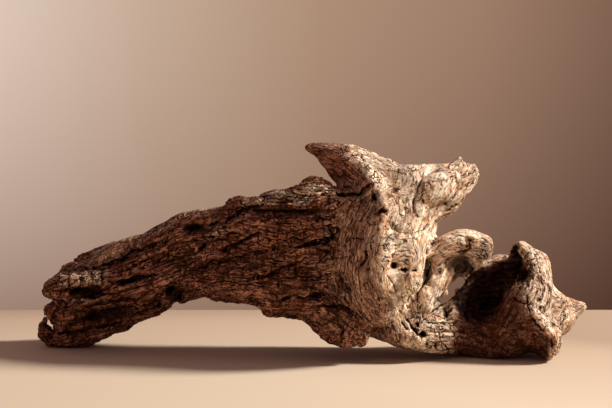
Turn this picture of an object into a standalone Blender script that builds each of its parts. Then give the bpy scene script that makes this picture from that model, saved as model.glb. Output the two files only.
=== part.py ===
"""A dry root: one weathered piece of root wood, about 0.46 m long, lying on the foot of its long arm
and on a broad base.

Sizes are millimetres and become metres in the meshes. +X runs along the root, +Y away from the viewer
and +Z up. A limb's stations are laid out in the front view: x and z are where the sight line through a
point meets the plane y = 0, seen from EYE, and the third number is the point's real depth y. place()
gives its real position.
"""
import math

import bmesh
import bpy
import numpy as np
from mathutils import Vector

MM = 0.001
EYE = np.array([-4.1, -1390.7, 245.9])

# Mesh sizes, coarse for joining the limbs and finer for the surface, and rounds of smoothing at the joins.
JOIN_VOXEL = 1.7
SURFACE_VOXEL = 1.45
JOIN_SMOOTHING = 6
SMOOTHING_FACTOR = 0.5
TRIANGLES = 11600

# Stations: x, z in the front view, y, half-size across the limb in the front view, and front to back.
ARM = [
    (-207, 37, 42, 28, 24), (-196, 38, 42, 31.5, 28), (-176, 47, 40, 31.5, 31),
    (-154, 58.5, 36, 32.5, 33), (-134, 64, 30, 29.5, 32), (-112, 75, 22, 32.5, 32),
    (-90, 83, 14, 35, 33), (-68, 82.5, 6, 37.5, 36), (-46, 83.5, -1, 42, 39), (-22, 82, -5, 48, 40),
    (4, 82.5, -7, 55.5, 40), (28, 84, -9, 57, 41), (52, 85, -14, 48, 43),
]
ARM_FOOT = [
    (-212, 16.5, 35, 12, 14), (-196, 17.5, 37, 13.5, 16), (-178, 23, 37, 12, 16),
    (-164, 27, 35, 11, 15), (-155, 28.5, 32, 10, 13),
]
TOP_BAND = [
    (-216, 58, 36, 4.5, 8), (-206, 62, 34, 5.5, 10), (-190, 68, 32, 7, 13), (-170, 77.5, 29, 7.5, 14),
    (-148, 89.5, 25, 8, 14), (-132, 93, 20.5, 7.5, 14), (-122, 97.5, 17.5, 8, 14.5),
    (-112, 104.5, 14, 9.5, 15), (-100, 109, 10, 10, 15), (-82, 111, 5, 9.5, 14), (-66, 114.5, 0, 9, 13),
]
BLOCK_ROW = [
    (-214, 54.5, 20, 7, 8), (-200, 57, 16, 9, 12), (-186, 59.5, 12, 10, 13), (-170, 62.5, 8, 9, 12),
    (-154, 68, 4, 6, 9),
]
LOWER_STRAND = [
    (-205, 31, 15, 6, 8), (-190, 36, 12, 8, 9), (-172, 44, 8, 9, 10), (-152, 51, 3, 10, 11),
    (-132, 58, -3, 11, 11), (-112, 66, -10, 12, 11), (-92, 64, -17, 14, 12), (-72, 61, -24, 14, 13),
    (-50, 60, -30, 14, 13), (-28, 58, -35, 14, 12), (-8, 60, -39, 13, 10),
]
UNDER_STRAND = [
    (-152, 34, 26, 8, 14), (-138, 38, 24, 9, 16), (-124, 43.5, 20, 9, 16), (-110, 52, 16, 8, 15),
    (-98, 58, 12, 6, 12),
]
UPPER_STRAND = [
    (-140, 80, 4, 7, 8), (-122, 88, -3, 9, 9), (-104, 92, -10, 11, 10), (-84, 94, -16, 12, 11),
    (-62, 103, -22, 13, 12), (-40, 106, -27, 14, 13), (-16, 104, -31, 14, 13), (6, 104, -35, 13, 12),
    (26, 106, -39, 12, 11),
]
KNUCKLE = [
    (-70, 112, -4, 8, 10), (-62, 121, -6, 10, 11), (-59.5, 130, -5, 5.5, 7),
]
RIDGE_LOW = [
    (-56, 124, -10, 5, 9), (-40, 123.5, -17, 5.5, 11), (-20, 124.5, -24, 6, 12), (0, 126, -28, 6.5, 12),
    (20, 126, -28, 8, 12),
]
RIDGE_TOP = [
    (-41, 130, -12, 2.8, 7), (-30, 131.2, -16, 4.2, 9), (-16, 133, -20, 5, 11), (-3, 138.5, -22, 7.8, 12),
    (8, 138.5, -22, 7, 12), (20, 130.5, -20, 6, 10),
]
BELLY = [
    (-34, 48.5, -20, 19.5, 24), (-14, 52.5, -24, 19, 25), (6, 44.5, -29, 20, 25),
    (20, 32.5, -33, 21.5, 24), (32, 24, -35, 20.5, 22), (43, 24, -34, 12, 18),
]
NUB = [
    (38, 22, -46, 9, 9), (41, 12, -48, 7.5, 8), (42, 6.5, -48, 4.5, 5),
]
TRUNK = [
    (73, 35.5, -12, 22, 26), (62, 40.6, -14, 31.4, 36), (55, 48, -16, 40, 43), (51, 64, -17, 45, 47),
    (52, 84, -16, 46, 47), (55, 102, -14, 43, 44), (63, 119, -10, 40.5, 36), (72, 134, -6, 40, 26),
    (77, 146, -3, 31, 16),
]
KEEL = [
    (58, 30, -42, 12, 12), (57, 56, -51, 17, 17), (55, 82, -53, 18, 18), (55, 100, -49, 17, 17),
    (59, 119, -42, 13, 14), (51, 132, -36, 10, 11), (48, 146, -26, 9, 10), (38, 158.5, -14, 8, 8),
    (29, 171.2, -6, 6.6, 6),
]
LEFT_HORN = [
    (57, 131, -8, 31, 26), (42, 147, -7, 25.5, 21), (26.2, 157.5, -5, 19.2, 16),
    (18.4, 162.2, -4, 15, 13), (10.6, 166.8, -3, 10.4, 10), (-0.5, 170, -2, 6.2, 6), (-6.5, 170.5, -1, 2.4, 3),
]
RIGHT_HORN = [
    (62, 121, -8, 32, 28), (80, 130, -6, 27, 22), (97, 131.8, -4, 24, 17), (111, 138, -2, 21.5, 13),
    (122, 144, 0, 15, 10), (129.5, 148.5, 2, 11, 7.5), (133.8, 152, 3, 6.8, 5),
]
SADDLE = [
    (42, 161, -4, 6, 8), (56, 157, -4, 7, 9), (68, 152, -3, 7.5, 9), (80, 148.5, -2, 6.5, 8),
]
PRONG_LEFT = [
    (118.5, 154.5, 1, 5.2, 5), (122.3, 160.5, 1, 3.6, 3.4), (124.2, 164.4, 1, 2, 2),
]
PRONG_RIGHT = [
    (131, 152.5, 2, 5.2, 4), (134, 157.8, 2, 3.4, 3), (135, 161.4, 2, 2, 1.8),
]
COLLAR = [
    (86, 92, -8, 14, 22), (94, 101, -8, 10, 13), (102.5, 104.5, -8, 4, 5),
]
LOOP = [
    (86, 78, -16, 14, 18), (102, 83, -16, 9, 14), (115, 90.5, -13, 10.3, 14), (128, 91, -8, 12.2, 14),
    (144, 88.8, -2, 10.2, 12),
]
LOOP_INNER = [
    (110, 82, -4, 12, 11), (104, 68, -11, 13, 14), (99, 56, -16, 11, 14), (96, 45, -21, 9, 12),
    (92, 36, -23, 10, 12),
]
BASE = [
    (60, 25.5, -14, 15, 30), (84, 22.7, -10, 20.3, 36), (102, 20, -6, 19.5, 31), (120, 19, -1, 20, 24),
    (144, 15.5, -1, 21.5, 28), (164, 18, -8, 21.5, 32), (182, 19, -16, 21, 30),
    (194, 12.5, -24, 15.5, 23),
]
BACK_WALL = [
    (90, 32, 16, 22, 18), (112, 36, 22, 22, 15), (136, 44, 24, 26, 13), (156, 54, 24, 26, 13),
    (172, 54, 20, 27, 14), (184, 52, 14, 22, 16),
]
BOWL_RIM = [
    (94, 20, -18, 14, 14), (110, 26, -14, 13, 13), (124, 40, -8, 12, 12), (137, 55, 0, 14, 11),
    (152, 62, 8, 15, 11), (166, 64, 10, 15, 12),
]
LOBE = [
    (158, 18, -16, 17, 22), (168, 28, -15, 20, 24), (176, 42, -12, 20, 26), (181, 55, -6, 16, 24),
    (180, 67, 0, 15, 20), (176, 79, 6, 13.2, 13), (170.5, 88.6, 9, 9.2, 9),
]
LOBE_EDGE = [
    (195, 1, -27, 10, 20), (196, 14, -27, 13, 23), (188, 24, -24, 17, 22), (180, 33, -20, 19, 20),
    (174, 45, -13, 17, 18), (169, 58, -5, 12, 14),
]
LOBE_SHOULDER = [
    (186.5, 50, 2, 15.5, 18), (187, 64, 5, 13, 15), (188.5, 75.5, 9, 10, 11), (189, 82.6, 10, 6.6, 6.5),
]
TIP = [
    (186, 32, 0, 28, 24), (200, 33.2, 4, 20.4, 19), (209, 34.6, 7, 15.6, 14), (215, 37, 9, 10.4, 9),
    (221, 38.3, 10, 6.6, 6), (228, 39.8, 11, 2.6, 2.6),
]
END_UPPER = [
    (-203, 56.5, 36, 9, 12), (-212, 55, 36, 8, 10), (-219, 53.5, 36, 5.5, 7),
]
END_MIDDLE = [
    (-202, 40, 38, 13, 14), (-210, 36.5, 38, 11, 11), (-214.5, 33.5, 38, 7, 7),
]
HOOK = [
    (-206, 15, 34, 9, 12), (-215, 13.5, 33, 7.5, 10), (-221, 16, 32, 5.5, 8), (-223, 22, 32, 3.8, 6),
    (-222.3, 26.5, 32, 2, 3),
]
BACK_STRAND_LOW = [
    (-190, 34, 66, 9, 8), (-150, 48, 61, 10, 9), (-110, 66, 48, 11, 9), (-70, 66, 36, 13, 10),
    (-30, 58, 30, 15, 12), (10, 46, 26, 17, 13), (44, 34, 22, 16, 13), (78, 26, 16, 14, 12),
]
BACK_STRAND_HIGH = [
    (-160, 78, 54, 8, 8), (-120, 92, 42, 10, 9), (-80, 100, 33, 11, 10), (-40, 106, 28, 13, 11),
    (0, 106, 25, 14, 12), (40, 106, 22, 15, 13), (74, 112, 16, 13, 11), (100, 126, 9, 9, 9),
]
LOOP_DOWN = [
    (131, 84, -3, 10, 11), (139, 76, 3, 9, 12), (144, 66, 10, 11, 12), (148, 56, 18, 14, 13),
]
LOOP_BACK = [
    (82, 44, 2, 18, 20), (92, 60, 6, 17, 16), (104, 72, 8, 15, 12), (122, 76, 10, 12, 10),
]
LIMBS = {
    "arm": ARM, "arm foot": ARM_FOOT, "top band": TOP_BAND, "block row": BLOCK_ROW,
    "lower strand": LOWER_STRAND, "under strand": UNDER_STRAND, "upper strand": UPPER_STRAND,
    "knuckle": KNUCKLE, "saddle": SADDLE,
    "ridge low": RIDGE_LOW, "ridge top": RIDGE_TOP, "belly": BELLY, "nub": NUB, "trunk": TRUNK,
    "keel": KEEL, "left horn": LEFT_HORN, "right horn": RIGHT_HORN, "prong left": PRONG_LEFT,
    "prong right": PRONG_RIGHT, "collar": COLLAR, "loop": LOOP, "loop inner": LOOP_INNER,
    "loop down": LOOP_DOWN, "loop back": LOOP_BACK, "base": BASE, "back wall": BACK_WALL,
    "bowl rim": BOWL_RIM, "lobe": LOBE, "lobe edge": LOBE_EDGE, "lobe shoulder": LOBE_SHOULDER,
    "tip": TIP, "end upper": END_UPPER, "end middle": END_MIDDLE, "hook": HOOK,
    "back strand low": BACK_STRAND_LOW, "back strand high": BACK_STRAND_HIGH,
}

# Sections: rounded boxes above 2, ellipses at 2 and crested below it, all with shallow flutes.
BOXY = 2.3
SQUARENESS = {
    "keel": 1.35, "lobe edge": 1.35, "ridge top": 1.35, "left horn": 1.35, "block row": 1.35,
    "trunk": 1.6, "loop inner": 1.6, "belly": 1.9, "arm": 2.0, "loop": 2.0, "base": 2.0,
}
SIDES = 26
LIMB_SEEDS = 11
STATION_SPACING = 5
LEAST_HALF = 0.8
FLUTES = (2, 3, 5)
FLUTING = 0.07
FLUTE_FALL = 0.4
FLUTE_TURN = 0.012
CAP_SHARES = (0.35, 0.7, 0.92)
CAP_BULGE = 0.55

# Hollows, laid out like the limbs and cut away.
BOWL = [
    (126, 20, -50, 8, 15), (136, 34, -32, 14, 17), (148, 49, -14, 16, 18), (159, 60, -5, 11, 14),
]
DARK_HOLE = [
    (160, 60, -12, 7, 9), (170, 66, -6, 7, 9), (177, 68, -2, 5, 8),
]
LOOP_HOLLOW = [
    (119, 74, -24, 7.5, 10), (121.5, 72.5, -14, 6.5, 8), (123, 71.5, -8, 4.5, 4),
]
LOOP_POCKET = [
    (104, 60, -42, 8, 10), (105, 65, -32, 8, 8), (106, 70, -24, 5, 5),
]
END_NOTCH = [
    (-226, 43.5, 36, 3, 30), (-212, 43, 36, 2.4, 28), (-198, 45, 34, 1.2, 18),
]
END_GAP = [
    (-219, 25.5, 34, 2.2, 34), (-212.5, 22, 34, 2.2, 30),
]
ROW_HOLLOW = [
    (-206, 52, 6, 2.5, 8), (-190, 53, 2, 4, 10), (-174, 54, -1, 3, 8),
]
FOOT_HOLLOW = [
    (-190, 26, 8, 2, 8), (-180, 32, 4, 3.5, 9), (-168, 36.5, 1, 3.5, 9), (-152, 39.5, -2, 2.5, 8),
    (-136, 39, -4, 1.5, 6),
]
HOLLOWS = [BOWL, DARK_HOLE, LOOP_HOLLOW, LOOP_POCKET, END_NOTCH, END_GAP, ROW_HOLLOW, FOOT_HOLLOW]
HOLLOW_SIDES = 16
HOLLOW_FLUTING = 0.05
HOLLOW_SEEDS = 40

# A slot that light falls through: x, z and half-width along its middle, cut between two depths y.
SEE_THROUGH = [(104, 40.5, 1.8), (109, 45.5, 3.6), (115, 51.5, 4.8), (120, 57, 4.8), (126, 63, 2.8)]
SLOT_FRONT = -80
SLOT_BACK = 90
SLOT_SLANT = 0.7

# Round insect holes: x, z, radius and depth behind the base's front face, which lies at y = HOLE_FACE.
WORM_HOLES = [(92, 16, 2.8, 9), (88, 24, 1.6, 6)]
HOLE_FACE = -28
BORE_LENGTH = 60
BORE_SIDES = 14

# Noise is scaled by NOISE_REACH to fill -1..1.
NOISE_REACH = 1.6

# Waves along the grain: height, size along, across and through the limb, and a seed.
WAVES = [(1.5, (46, 9, 9), 3), (1.0, (17, 12, 12), 7), (0.5, (8, 8, 8), 13)]

# Fine cracks along and across the grain: depth, width as a share of the pattern, its size along, across
# and through the limb, how far and over what distance they wander, and two seeds.
CRACKS = [
    (2.6, 0.07, (60, 12, 12), 0.35, 15, 17, 31), (1.3, 0.06, (13, 26, 26), 0.3, 9, 23, 37),
]

# How far and over what distance a fissure wanders, and how soon it fades where the surface turns away.
FISSURE_WANDER = 0.9
FISSURE_WAVE = 5
FISSURE_SEED = 41
FISSURE_FADE = 4

# The grain follows the nearest limb within GRAIN_REACH, and each limb has its own stretch of the pattern.
GRAIN_REACH = 90
GRAIN_GAP = 37

# The wood's colour (linear) and roughness where no finer looks are given.
WOOD_COLOUR = (0.42, 0.27, 0.16, 1)
WOOD_ROUGHNESS = 0.85

# Fissures seen from the front: points x, z of the front view, then the width and the depth.
FRONT_FISSURES = [
    ([(-99, 72.6), (-88, 73.8), (-79.5, 77.5), (-69.8, 78), (-59, 81), (-48, 84.8), (-38, 86)], 3.2, 5),
    ([(-73.4, 84.8), (-66, 89.7), (-57.6, 94), (-48, 97.7), (-43, 100)], 3.4, 5),
    ([(-50, 119.5), (-30, 118.5), (-10, 119), (0, 119)], 2.6, 5),
    ([(-39.5, 109.3), (-23.7, 114)], 2.2, 3),
    ([(-15, 87.3), (-6.7, 90.3), (0.6, 93.4), (9, 94.4), (17.6, 94.6)], 2.6, 4),
    ([(14.5, 108), (15.8, 103), (17.6, 97), (21.2, 100.7), (21.8, 106.9)], 2.2, 3.5),
    ([(-48, 64), (-33.4, 66.5), (-25, 71.4), (-12.7, 75), (-12.7, 63)], 2.4, 3.5),
    ([(-26, 44), (-11.5, 48), (-6.7, 46.3), (0.6, 47.5)], 3, 4),
    ([(-1, 46), (4, 48.5), (10, 50)], 6, 8),
    ([(21, 66.5), (27, 60.3), (31.6, 53)], 2.4, 4),
    ([(20.8, 133), (39.4, 132.4), (46.8, 140.5), (40.6, 146.8)], 2.2, 3.5),
    ([(52, 127), (52.6, 133)], 3.2, 6),
    ([(45, 85.5), (45, 78), (40.6, 73)], 3, 5),
    ([(66.6, 70.5), (69, 76.8)], 3, 5),
    ([(74, 70), (86, 70)], 2.4, 3),
    ([(84.5, 117), (84.5, 128)], 2.2, 3.5),
    ([(65, 110), (71.5, 100), (86, 100), (96, 105)], 2, 3),
    ([(98.9, 76), (93.8, 58), (88, 50.5), (87.7, 44), (91, 39)], 3.4, 9),
    ([(-175.5, 71.4), (-163, 76.7), (-154.5, 79.3), (-147.5, 84.6), (-137, 88), (-119.6, 94.3)], 3.2, 5),
    ([(-208, 63.5), (-200, 66), (-190, 66)], 2.2, 3),
    ([(-170, 45), (-158, 45.5), (-150, 50)], 2.2, 3.5),
    ([(-118.7, 50), (-115, 56)], 5, 7),
    ([(-112, 44), (-107, 50)], 5, 7),
    ([(-126.6, 46), (-124.8, 40)], 4, 5),
    ([(-158, 59), (-140, 64), (-128, 66)], 2.8, 4),
    ([(-102, 104), (-90, 105)], 5, 6),
    ([(-84, 106), (-77, 109)], 3, 4),
    ([(-91, 87), (-87, 91.5)], 3.6, 4),
    ([(-72, 104), (-68, 112), (-60, 117), (-54, 122)], 3, 4),
    ([(95.7, 12.4), (96.3, 6)], 2.2, 4),
    ([(94, 26), (118, 26)], 1.8, 2.5),
    ([(96, 18), (122, 18)], 1.8, 2.5),
    ([(111, 36), (112, 30)], 2.4, 4),
    ([(167, 86), (172, 80), (174, 72)], 4, 5),
    ([(180, 28), (190, 20), (198, 14)], 2.4, 4),
    ([(128, 97), (131, 91), (129, 87)], 2.4, 3.5),
    ([(108, 89), (120, 86), (129, 86)], 2.2, 3),
    ([(20, 30), (27, 20), (25, 14)], 3, 4),
    ([(36, 34), (26, 40), (14, 40), (2, 40)], 3, 4),
]
BACK_FISSURES = [
    ([(-196, 44), (-160, 62), (-124, 80), (-88, 84), (-50, 84), (-20, 78)], 3.4, 6),
    ([(-150, 36), (-110, 56), (-70, 54), (-34, 44)], 3, 5),
    ([(-60, 100), (-20, 92), (20, 88), (50, 92)], 3.2, 6),
    ([(20, 60), (34, 74), (36, 96), (30, 118), (34, 140)], 3, 5),
    ([(62, 60), (66, 84), (62, 108), (72, 128), (92, 140)], 3.2, 5),
    ([(84, 44), (90, 66), (86, 92)], 3, 5),
    ([(110, 24), (140, 30), (172, 28)], 3, 5),
    ([(150, 52), (164, 60), (180, 58)], 2.8, 4),
    ([(0, 60), (12, 44), (30, 36)], 3.4, 5),
]


def clear_scene():
    for obj in list(bpy.data.objects):
        bpy.data.objects.remove(obj)


def collection(name):
    made = bpy.data.collections.new(name)
    bpy.context.scene.collection.children.link(made)
    return made


def place(x, z, y):
    """The real position of a point of the front view at depth y, and the scale there."""
    share = 1 - y / EYE[1]
    return np.array([EYE[0] + (x - EYE[0]) * share, y, EYE[2] + (z - EYE[2]) * share]), share


def front_view(points):
    """Where the sight lines through real points meet the plane y = 0."""
    share = -EYE[1] / (points[:, 1] - EYE[1])
    return EYE[0] + (points[:, 0] - EYE[0]) * share, EYE[2] + (points[:, 2] - EYE[2]) * share


def smooth_rows(rows, spacing):
    """A Catmull-Rom curve through rows whose first three numbers are a position, one row every spacing."""
    rows = np.array(rows, float)
    ends = np.vstack([2 * rows[0] - rows[1], rows, 2 * rows[-1] - rows[-2]])
    found = []
    for i in range(1, len(ends) - 2):
        a, b, c, d = ends[i - 1:i + 3]
        steps = max(2, round(np.linalg.norm(c[:3] - b[:3]) / spacing))
        for k in range(steps):
            t = k / steps
            found.append(0.5 * (2 * b + (c - a) * t + (2 * a - 5 * b + 4 * c - d) * t ** 2
                                + (3 * b - a - 3 * c + d) * t ** 3))
    found.append(rows[-1])
    found = np.array(found)
    found[:, 3:] = np.maximum(found[:, 3:], LEAST_HALF)
    return found


def axis_of(stations):
    """Centres, frames (along, across, through) and half-sizes along a limb."""
    rows = []
    for x, z, y, across, through in stations:
        centre, share = place(x, z, y)
        rows.append((*centre, across * share, through * share))
    rows = smooth_rows(rows, STATION_SPACING)
    centres = rows[:, :3]
    along = np.gradient(centres, axis=0)
    along /= np.linalg.norm(along, axis=1)[:, None]
    across = np.cross(along, (0, -1, 0))
    across /= np.linalg.norm(across, axis=1)[:, None]
    through = np.cross(along, across)
    return centres, along, across, through, rows[:, 3:]


def limb_mesh(axis, seed, sides=SIDES, fluting=FLUTING, squareness=BOXY):
    """A closed loft along an axis: fluted sections, boxy above 2 and crested below it, and rounded ends."""
    centres, along, across, through, half = axis
    rng = np.random.default_rng(seed)
    phases = rng.uniform(0, 2 * math.pi, 3)
    turns = rng.uniform(-FLUTE_TURN, FLUTE_TURN, 3)
    length = np.concatenate([[0], np.cumsum(np.linalg.norm(np.diff(centres, axis=0), axis=1))])
    angle = np.linspace(0, 2 * math.pi, sides, endpoint=False)
    outline = np.abs(np.cos(angle)) ** squareness + np.abs(np.sin(angle)) ** squareness
    outline = outline ** (-1 / squareness)

    def ring(i, share=1.0, offset=0.0):
        radius = outline.copy()
        for k, lobes in enumerate(FLUTES):
            radius += fluting * np.cos(lobes * angle + phases[k] + turns[k] * length[i]) / (1 + k * FLUTE_FALL)
        sideways = across[i] * (half[i, 0] * share * radius * np.cos(angle))[:, None]
        depth = through[i] * (half[i, 1] * share * radius * np.sin(angle))[:, None]
        return centres[i] + along[i] * offset + sideways + depth

    last = len(centres) - 1
    start = -CAP_BULGE * half[0].min()
    end = CAP_BULGE * half[last].min()
    rings = [ring(0, share, start * math.sqrt(1 - share ** 2)) for share in CAP_SHARES]
    rings += [ring(i) for i in range(len(centres))]
    rings += [ring(last, share, end * math.sqrt(1 - share ** 2)) for share in reversed(CAP_SHARES)]
    points = np.vstack(rings)
    faces = []
    for r in range(len(rings) - 1):
        for k in range(sides):
            n = (k + 1) % sides
            faces.append((r * sides + k, r * sides + n, (r + 1) * sides + n, (r + 1) * sides + k))
    faces.append(tuple(range(sides))[::-1])
    faces.append(tuple((len(rings) - 1) * sides + k for k in range(sides)))
    return points, faces


def add_mesh(name, points, faces, home):
    mesh = bpy.data.meshes.new(name)
    mesh.from_pydata((points * MM).tolist(), [], faces)
    shape = bmesh.new()
    shape.from_mesh(mesh)
    bmesh.ops.recalc_face_normals(shape, faces=shape.faces)
    shape.to_mesh(mesh)
    shape.free()
    obj = bpy.data.objects.new(name, mesh)
    home.objects.link(obj)
    return obj


def apply_modifiers(obj):
    evaluated = obj.evaluated_get(bpy.context.evaluated_depsgraph_get())
    mesh = bpy.data.meshes.new_from_object(evaluated)
    obj.modifiers.clear()
    obj.data = mesh


def remesh(obj, voxel):
    modifier = obj.modifiers.new("even skin", "REMESH")
    modifier.mode = "VOXEL"
    modifier.voxel_size = voxel * MM
    apply_modifiers(obj)


def soften(obj, times):
    modifier = obj.modifiers.new("soft joins", "SMOOTH")
    modifier.factor = SMOOTHING_FACTOR
    modifier.iterations = times
    apply_modifiers(obj)


def join_limbs(home):
    """All limbs as one skin."""
    points, faces, start = [], [], 0
    for order, (name, stations) in enumerate(LIMBS.items()):
        squareness = SQUARENESS.get(name, BOXY)
        found, sides = limb_mesh(axis_of(stations), order + LIMB_SEEDS, squareness=squareness)
        points.append(found)
        faces += [tuple(v + start for v in face) for face in sides]
        start += len(found)
    root = add_mesh("dry_root", np.vstack(points), faces, home)
    remesh(root, JOIN_VOXEL)
    soften(root, JOIN_SMOOTHING)
    return root


def add_cutters(home):
    """Bodies that are taken out of the joined limbs."""
    made = []
    for order, stations in enumerate(HOLLOWS):
        points, faces = limb_mesh(
            axis_of(stations), order + HOLLOW_SEEDS, sides=HOLLOW_SIDES, fluting=HOLLOW_FLUTING)
        made.append(add_mesh(f"hollow {order + 1}", points, faces, home))
    made.append(slot_cutter(home))
    for x, z, radius, depth in WORM_HOLES:
        made.append(hole_cutter(x, z, radius, depth, home))
    for cutter in made:
        cutter.hide_render = True
        cutter.display_type = "WIRE"
    return made


def slot_cutter(home):
    """The slot that light falls through between the loop and the bowl's rim."""
    upper = [(x - w * SLOT_SLANT, z + w * SLOT_SLANT) for x, z, w in SEE_THROUGH]
    lower = [(x + w * SLOT_SLANT, z - w * SLOT_SLANT) for x, z, w in reversed(SEE_THROUGH)]
    outline = upper + lower
    points = [place(x, z, y)[0] for y in (SLOT_FRONT, SLOT_BACK) for x, z in outline]
    count = len(outline)
    faces = [(k, (k + 1) % count, count + (k + 1) % count, count + k) for k in range(count)]
    faces.append(tuple(range(count))[::-1])
    faces.append(tuple(range(count, 2 * count)))
    return add_mesh("see-through slot", np.array(points), faces, home)


def hole_cutter(x, z, radius, depth, home):
    """A round hole bored from the front along the sight line."""
    bpy.ops.mesh.primitive_cylinder_add(vertices=BORE_SIDES, radius=radius * MM, depth=BORE_LENGTH * MM)
    hole = bpy.context.object
    hole.name = "worm hole"
    front = place(x, z, HOLE_FACE - BORE_LENGTH / 2)[0]
    back = place(x, z, HOLE_FACE + depth)[0]
    direction = Vector(back - front).normalized()
    hole.rotation_euler = direction.to_track_quat("Z", "Y").to_euler()
    hole.location = Vector(back * MM) - direction * BORE_LENGTH / 2 * MM
    for old in hole.users_collection:
        old.objects.unlink(hole)
    home.objects.link(hole)
    return hole


def carve(root, cutters):
    for cutter in cutters:
        modifier = root.modifiers.new(cutter.name, "BOOLEAN")
        modifier.operation = "DIFFERENCE"
        modifier.object = cutter
    bpy.context.view_layer.update()
    apply_modifiers(root)


def noise(points, seed):
    """Smooth noise in about -1..1, one value for each point, with a period of one unit."""
    cell = np.floor(points).astype(np.int64)
    frac = points - cell
    fade = frac ** 3 * (frac * (frac * 6 - 15) + 10)
    total = np.zeros(len(points))
    for corner in np.ndindex(2, 2, 2):
        at = cell + corner
        key = (at[:, 0] * 73856093) ^ (at[:, 1] * 19349663) ^ (at[:, 2] * 83492791) ^ (seed * 2654435761)
        key = (key ^ (key >> 13)) * 1274126177 & 0x7FFFFFFF
        turn = (key & 0xFFFF) / 65536 * 2 * math.pi
        rise = (key >> 16) / 32768 * 2 - 1
        flat = np.sqrt(np.maximum(0, 1 - rise ** 2))
        away = frac - corner
        slope = away[:, 0] * flat * np.cos(turn) + away[:, 1] * flat * np.sin(turn) + away[:, 2] * rise
        share = np.ones(len(points))
        for k in range(3):
            share *= fade[:, k] if corner[k] else 1 - fade[:, k]
        total += share * slope
    return total * NOISE_REACH


def grain_space(points, axes):
    """Each point's place in its nearest limb: distance along it, across it and through it."""
    best = np.full(len(points), np.inf)
    found = np.zeros((len(points), 3))
    start = 0.0
    for centres, along, across, through, half in axes:
        step = np.concatenate([[0], np.cumsum(np.linalg.norm(np.diff(centres, axis=0), axis=1))])
        for i in range(len(centres)):
            away = points - centres[i]
            near = np.abs(away).max(axis=1) < GRAIN_REACH
            w = away[near] @ across[i]
            d = away[near] @ through[i]
            s = away[near] @ along[i]
            size = np.sqrt((w / half[i, 0]) ** 2 + (d / half[i, 1]) ** 2 + (s / half[i].min()) ** 2)
            rows = np.flatnonzero(near)[size < best[near]]
            keep = size < best[near]
            best[rows] = size[keep]
            found[rows] = np.column_stack([start + step[i] + s[keep], w[keep], d[keep]])
        start += step[-1] + GRAIN_GAP
    return found


def path_distance(x, z, path):
    """Distance in the front view from each point to a path."""
    best = np.full(len(x), np.inf)
    for (ax, az), (bx, bz) in zip(path[:-1], path[1:]):
        ux, uz = bx - ax, bz - az
        t = np.clip(((x - ax) * ux + (z - az) * uz) / (ux * ux + uz * uz), 0, 1)
        best = np.minimum(best, np.hypot(x - ax - t * ux, z - az - t * uz))
    return best


def relief(points, normals, axes):
    """How far each point sinks (-) or swells (+) along its normal."""
    grain = grain_space(points, axes)
    move = sum(height * noise(grain / size, seed) for height, size, seed in WAVES)
    for depth, width, size, wander, wave, seed, wander_seed in CRACKS:
        shift = wander * noise(points / wave, wander_seed)[:, None]
        line = np.abs(noise(grain / size + shift, seed))
        move -= depth * np.clip(1 - line / width, 0, 1)
    x, z = front_view(points)
    wander = FISSURE_WANDER * noise(points / FISSURE_WAVE, FISSURE_SEED)
    for facing, fissures in ((-1, FRONT_FISSURES), (1, BACK_FISSURES)):
        turned = np.clip(facing * normals[:, 1] * FISSURE_FADE + 1, 0, 1)
        for path, width, depth in fissures:
            gap = path_distance(x + wander, z + wander, path)
            move -= depth * turned * np.clip(1 - (gap / width) ** 2, 0, 1)
    return move


def shape_surface(root, axes):
    count = len(root.data.vertices)
    points = np.empty(count * 3)
    normals = np.empty(count * 3)
    root.data.vertices.foreach_get("co", points)
    root.data.vertices.foreach_get("normal", normals)
    points = points.reshape(-1, 3) / MM
    normals = normals.reshape(-1, 3)
    points += normals * relief(points, normals, axes)[:, None]
    root.data.vertices.foreach_set("co", (points * MM).ravel())
    root.data.update()


def thin_out(root, triangles):
    modifier = root.modifiers.new("fewer faces", "DECIMATE")
    root.data.calc_loop_triangles()
    modifier.ratio = triangles / len(root.data.loop_triangles)
    modifier.use_collapse_triangulate = True
    apply_modifiers(root)


def keep_largest(shape):
    """Drops the crumbs that the hollows leave loose."""
    left = set(shape.verts)
    bodies = []
    while left:
        body = [left.pop()]
        for vert in body:
            for edge in vert.link_edges:
                other = edge.other_vert(vert)
                if other in left:
                    left.remove(other)
                    body.append(other)
        bodies.append(body)
    bodies.sort(key=len)
    for body in bodies[:-1]:
        bmesh.ops.delete(shape, geom=body, context="VERTS")


def stand_on_floor(root):
    """Cuts the root flat where it lies on the floor, z = 0, and centres it on the origin."""
    shape = bmesh.new()
    shape.from_mesh(root.data)
    plane = bmesh.ops.bisect_plane(
        shape, geom=shape.verts[:] + shape.edges[:] + shape.faces[:], dist=1e-6,
        plane_co=(0, 0, 0), plane_no=(0, 0, -1), clear_outer=True)
    rim = [g for g in plane["geom_cut"] if isinstance(g, bmesh.types.BMEdge)]
    bmesh.ops.edgeloop_fill(shape, edges=rim)
    bmesh.ops.triangulate(shape, faces=shape.faces)
    keep_largest(shape)
    for axis in (0, 1):
        values = [v.co[axis] for v in shape.verts]
        shift = Vector((0, 0, 0))
        shift[axis] = -(min(values) + max(values)) / 2
        bmesh.ops.translate(shape, verts=shape.verts, vec=shift)
    bmesh.ops.recalc_face_normals(shape, faces=shape.faces)
    shape.to_mesh(root.data)
    shape.free()


def wood():
    material = bpy.data.materials.new("weathered root wood")
    material.use_nodes = True
    shader = material.node_tree.nodes["Principled BSDF"]
    shader.inputs["Base Color"].default_value = WOOD_COLOUR
    shader.inputs["Roughness"].default_value = WOOD_ROUGHNESS
    shader.inputs["Metallic"].default_value = 0
    return material


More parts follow.
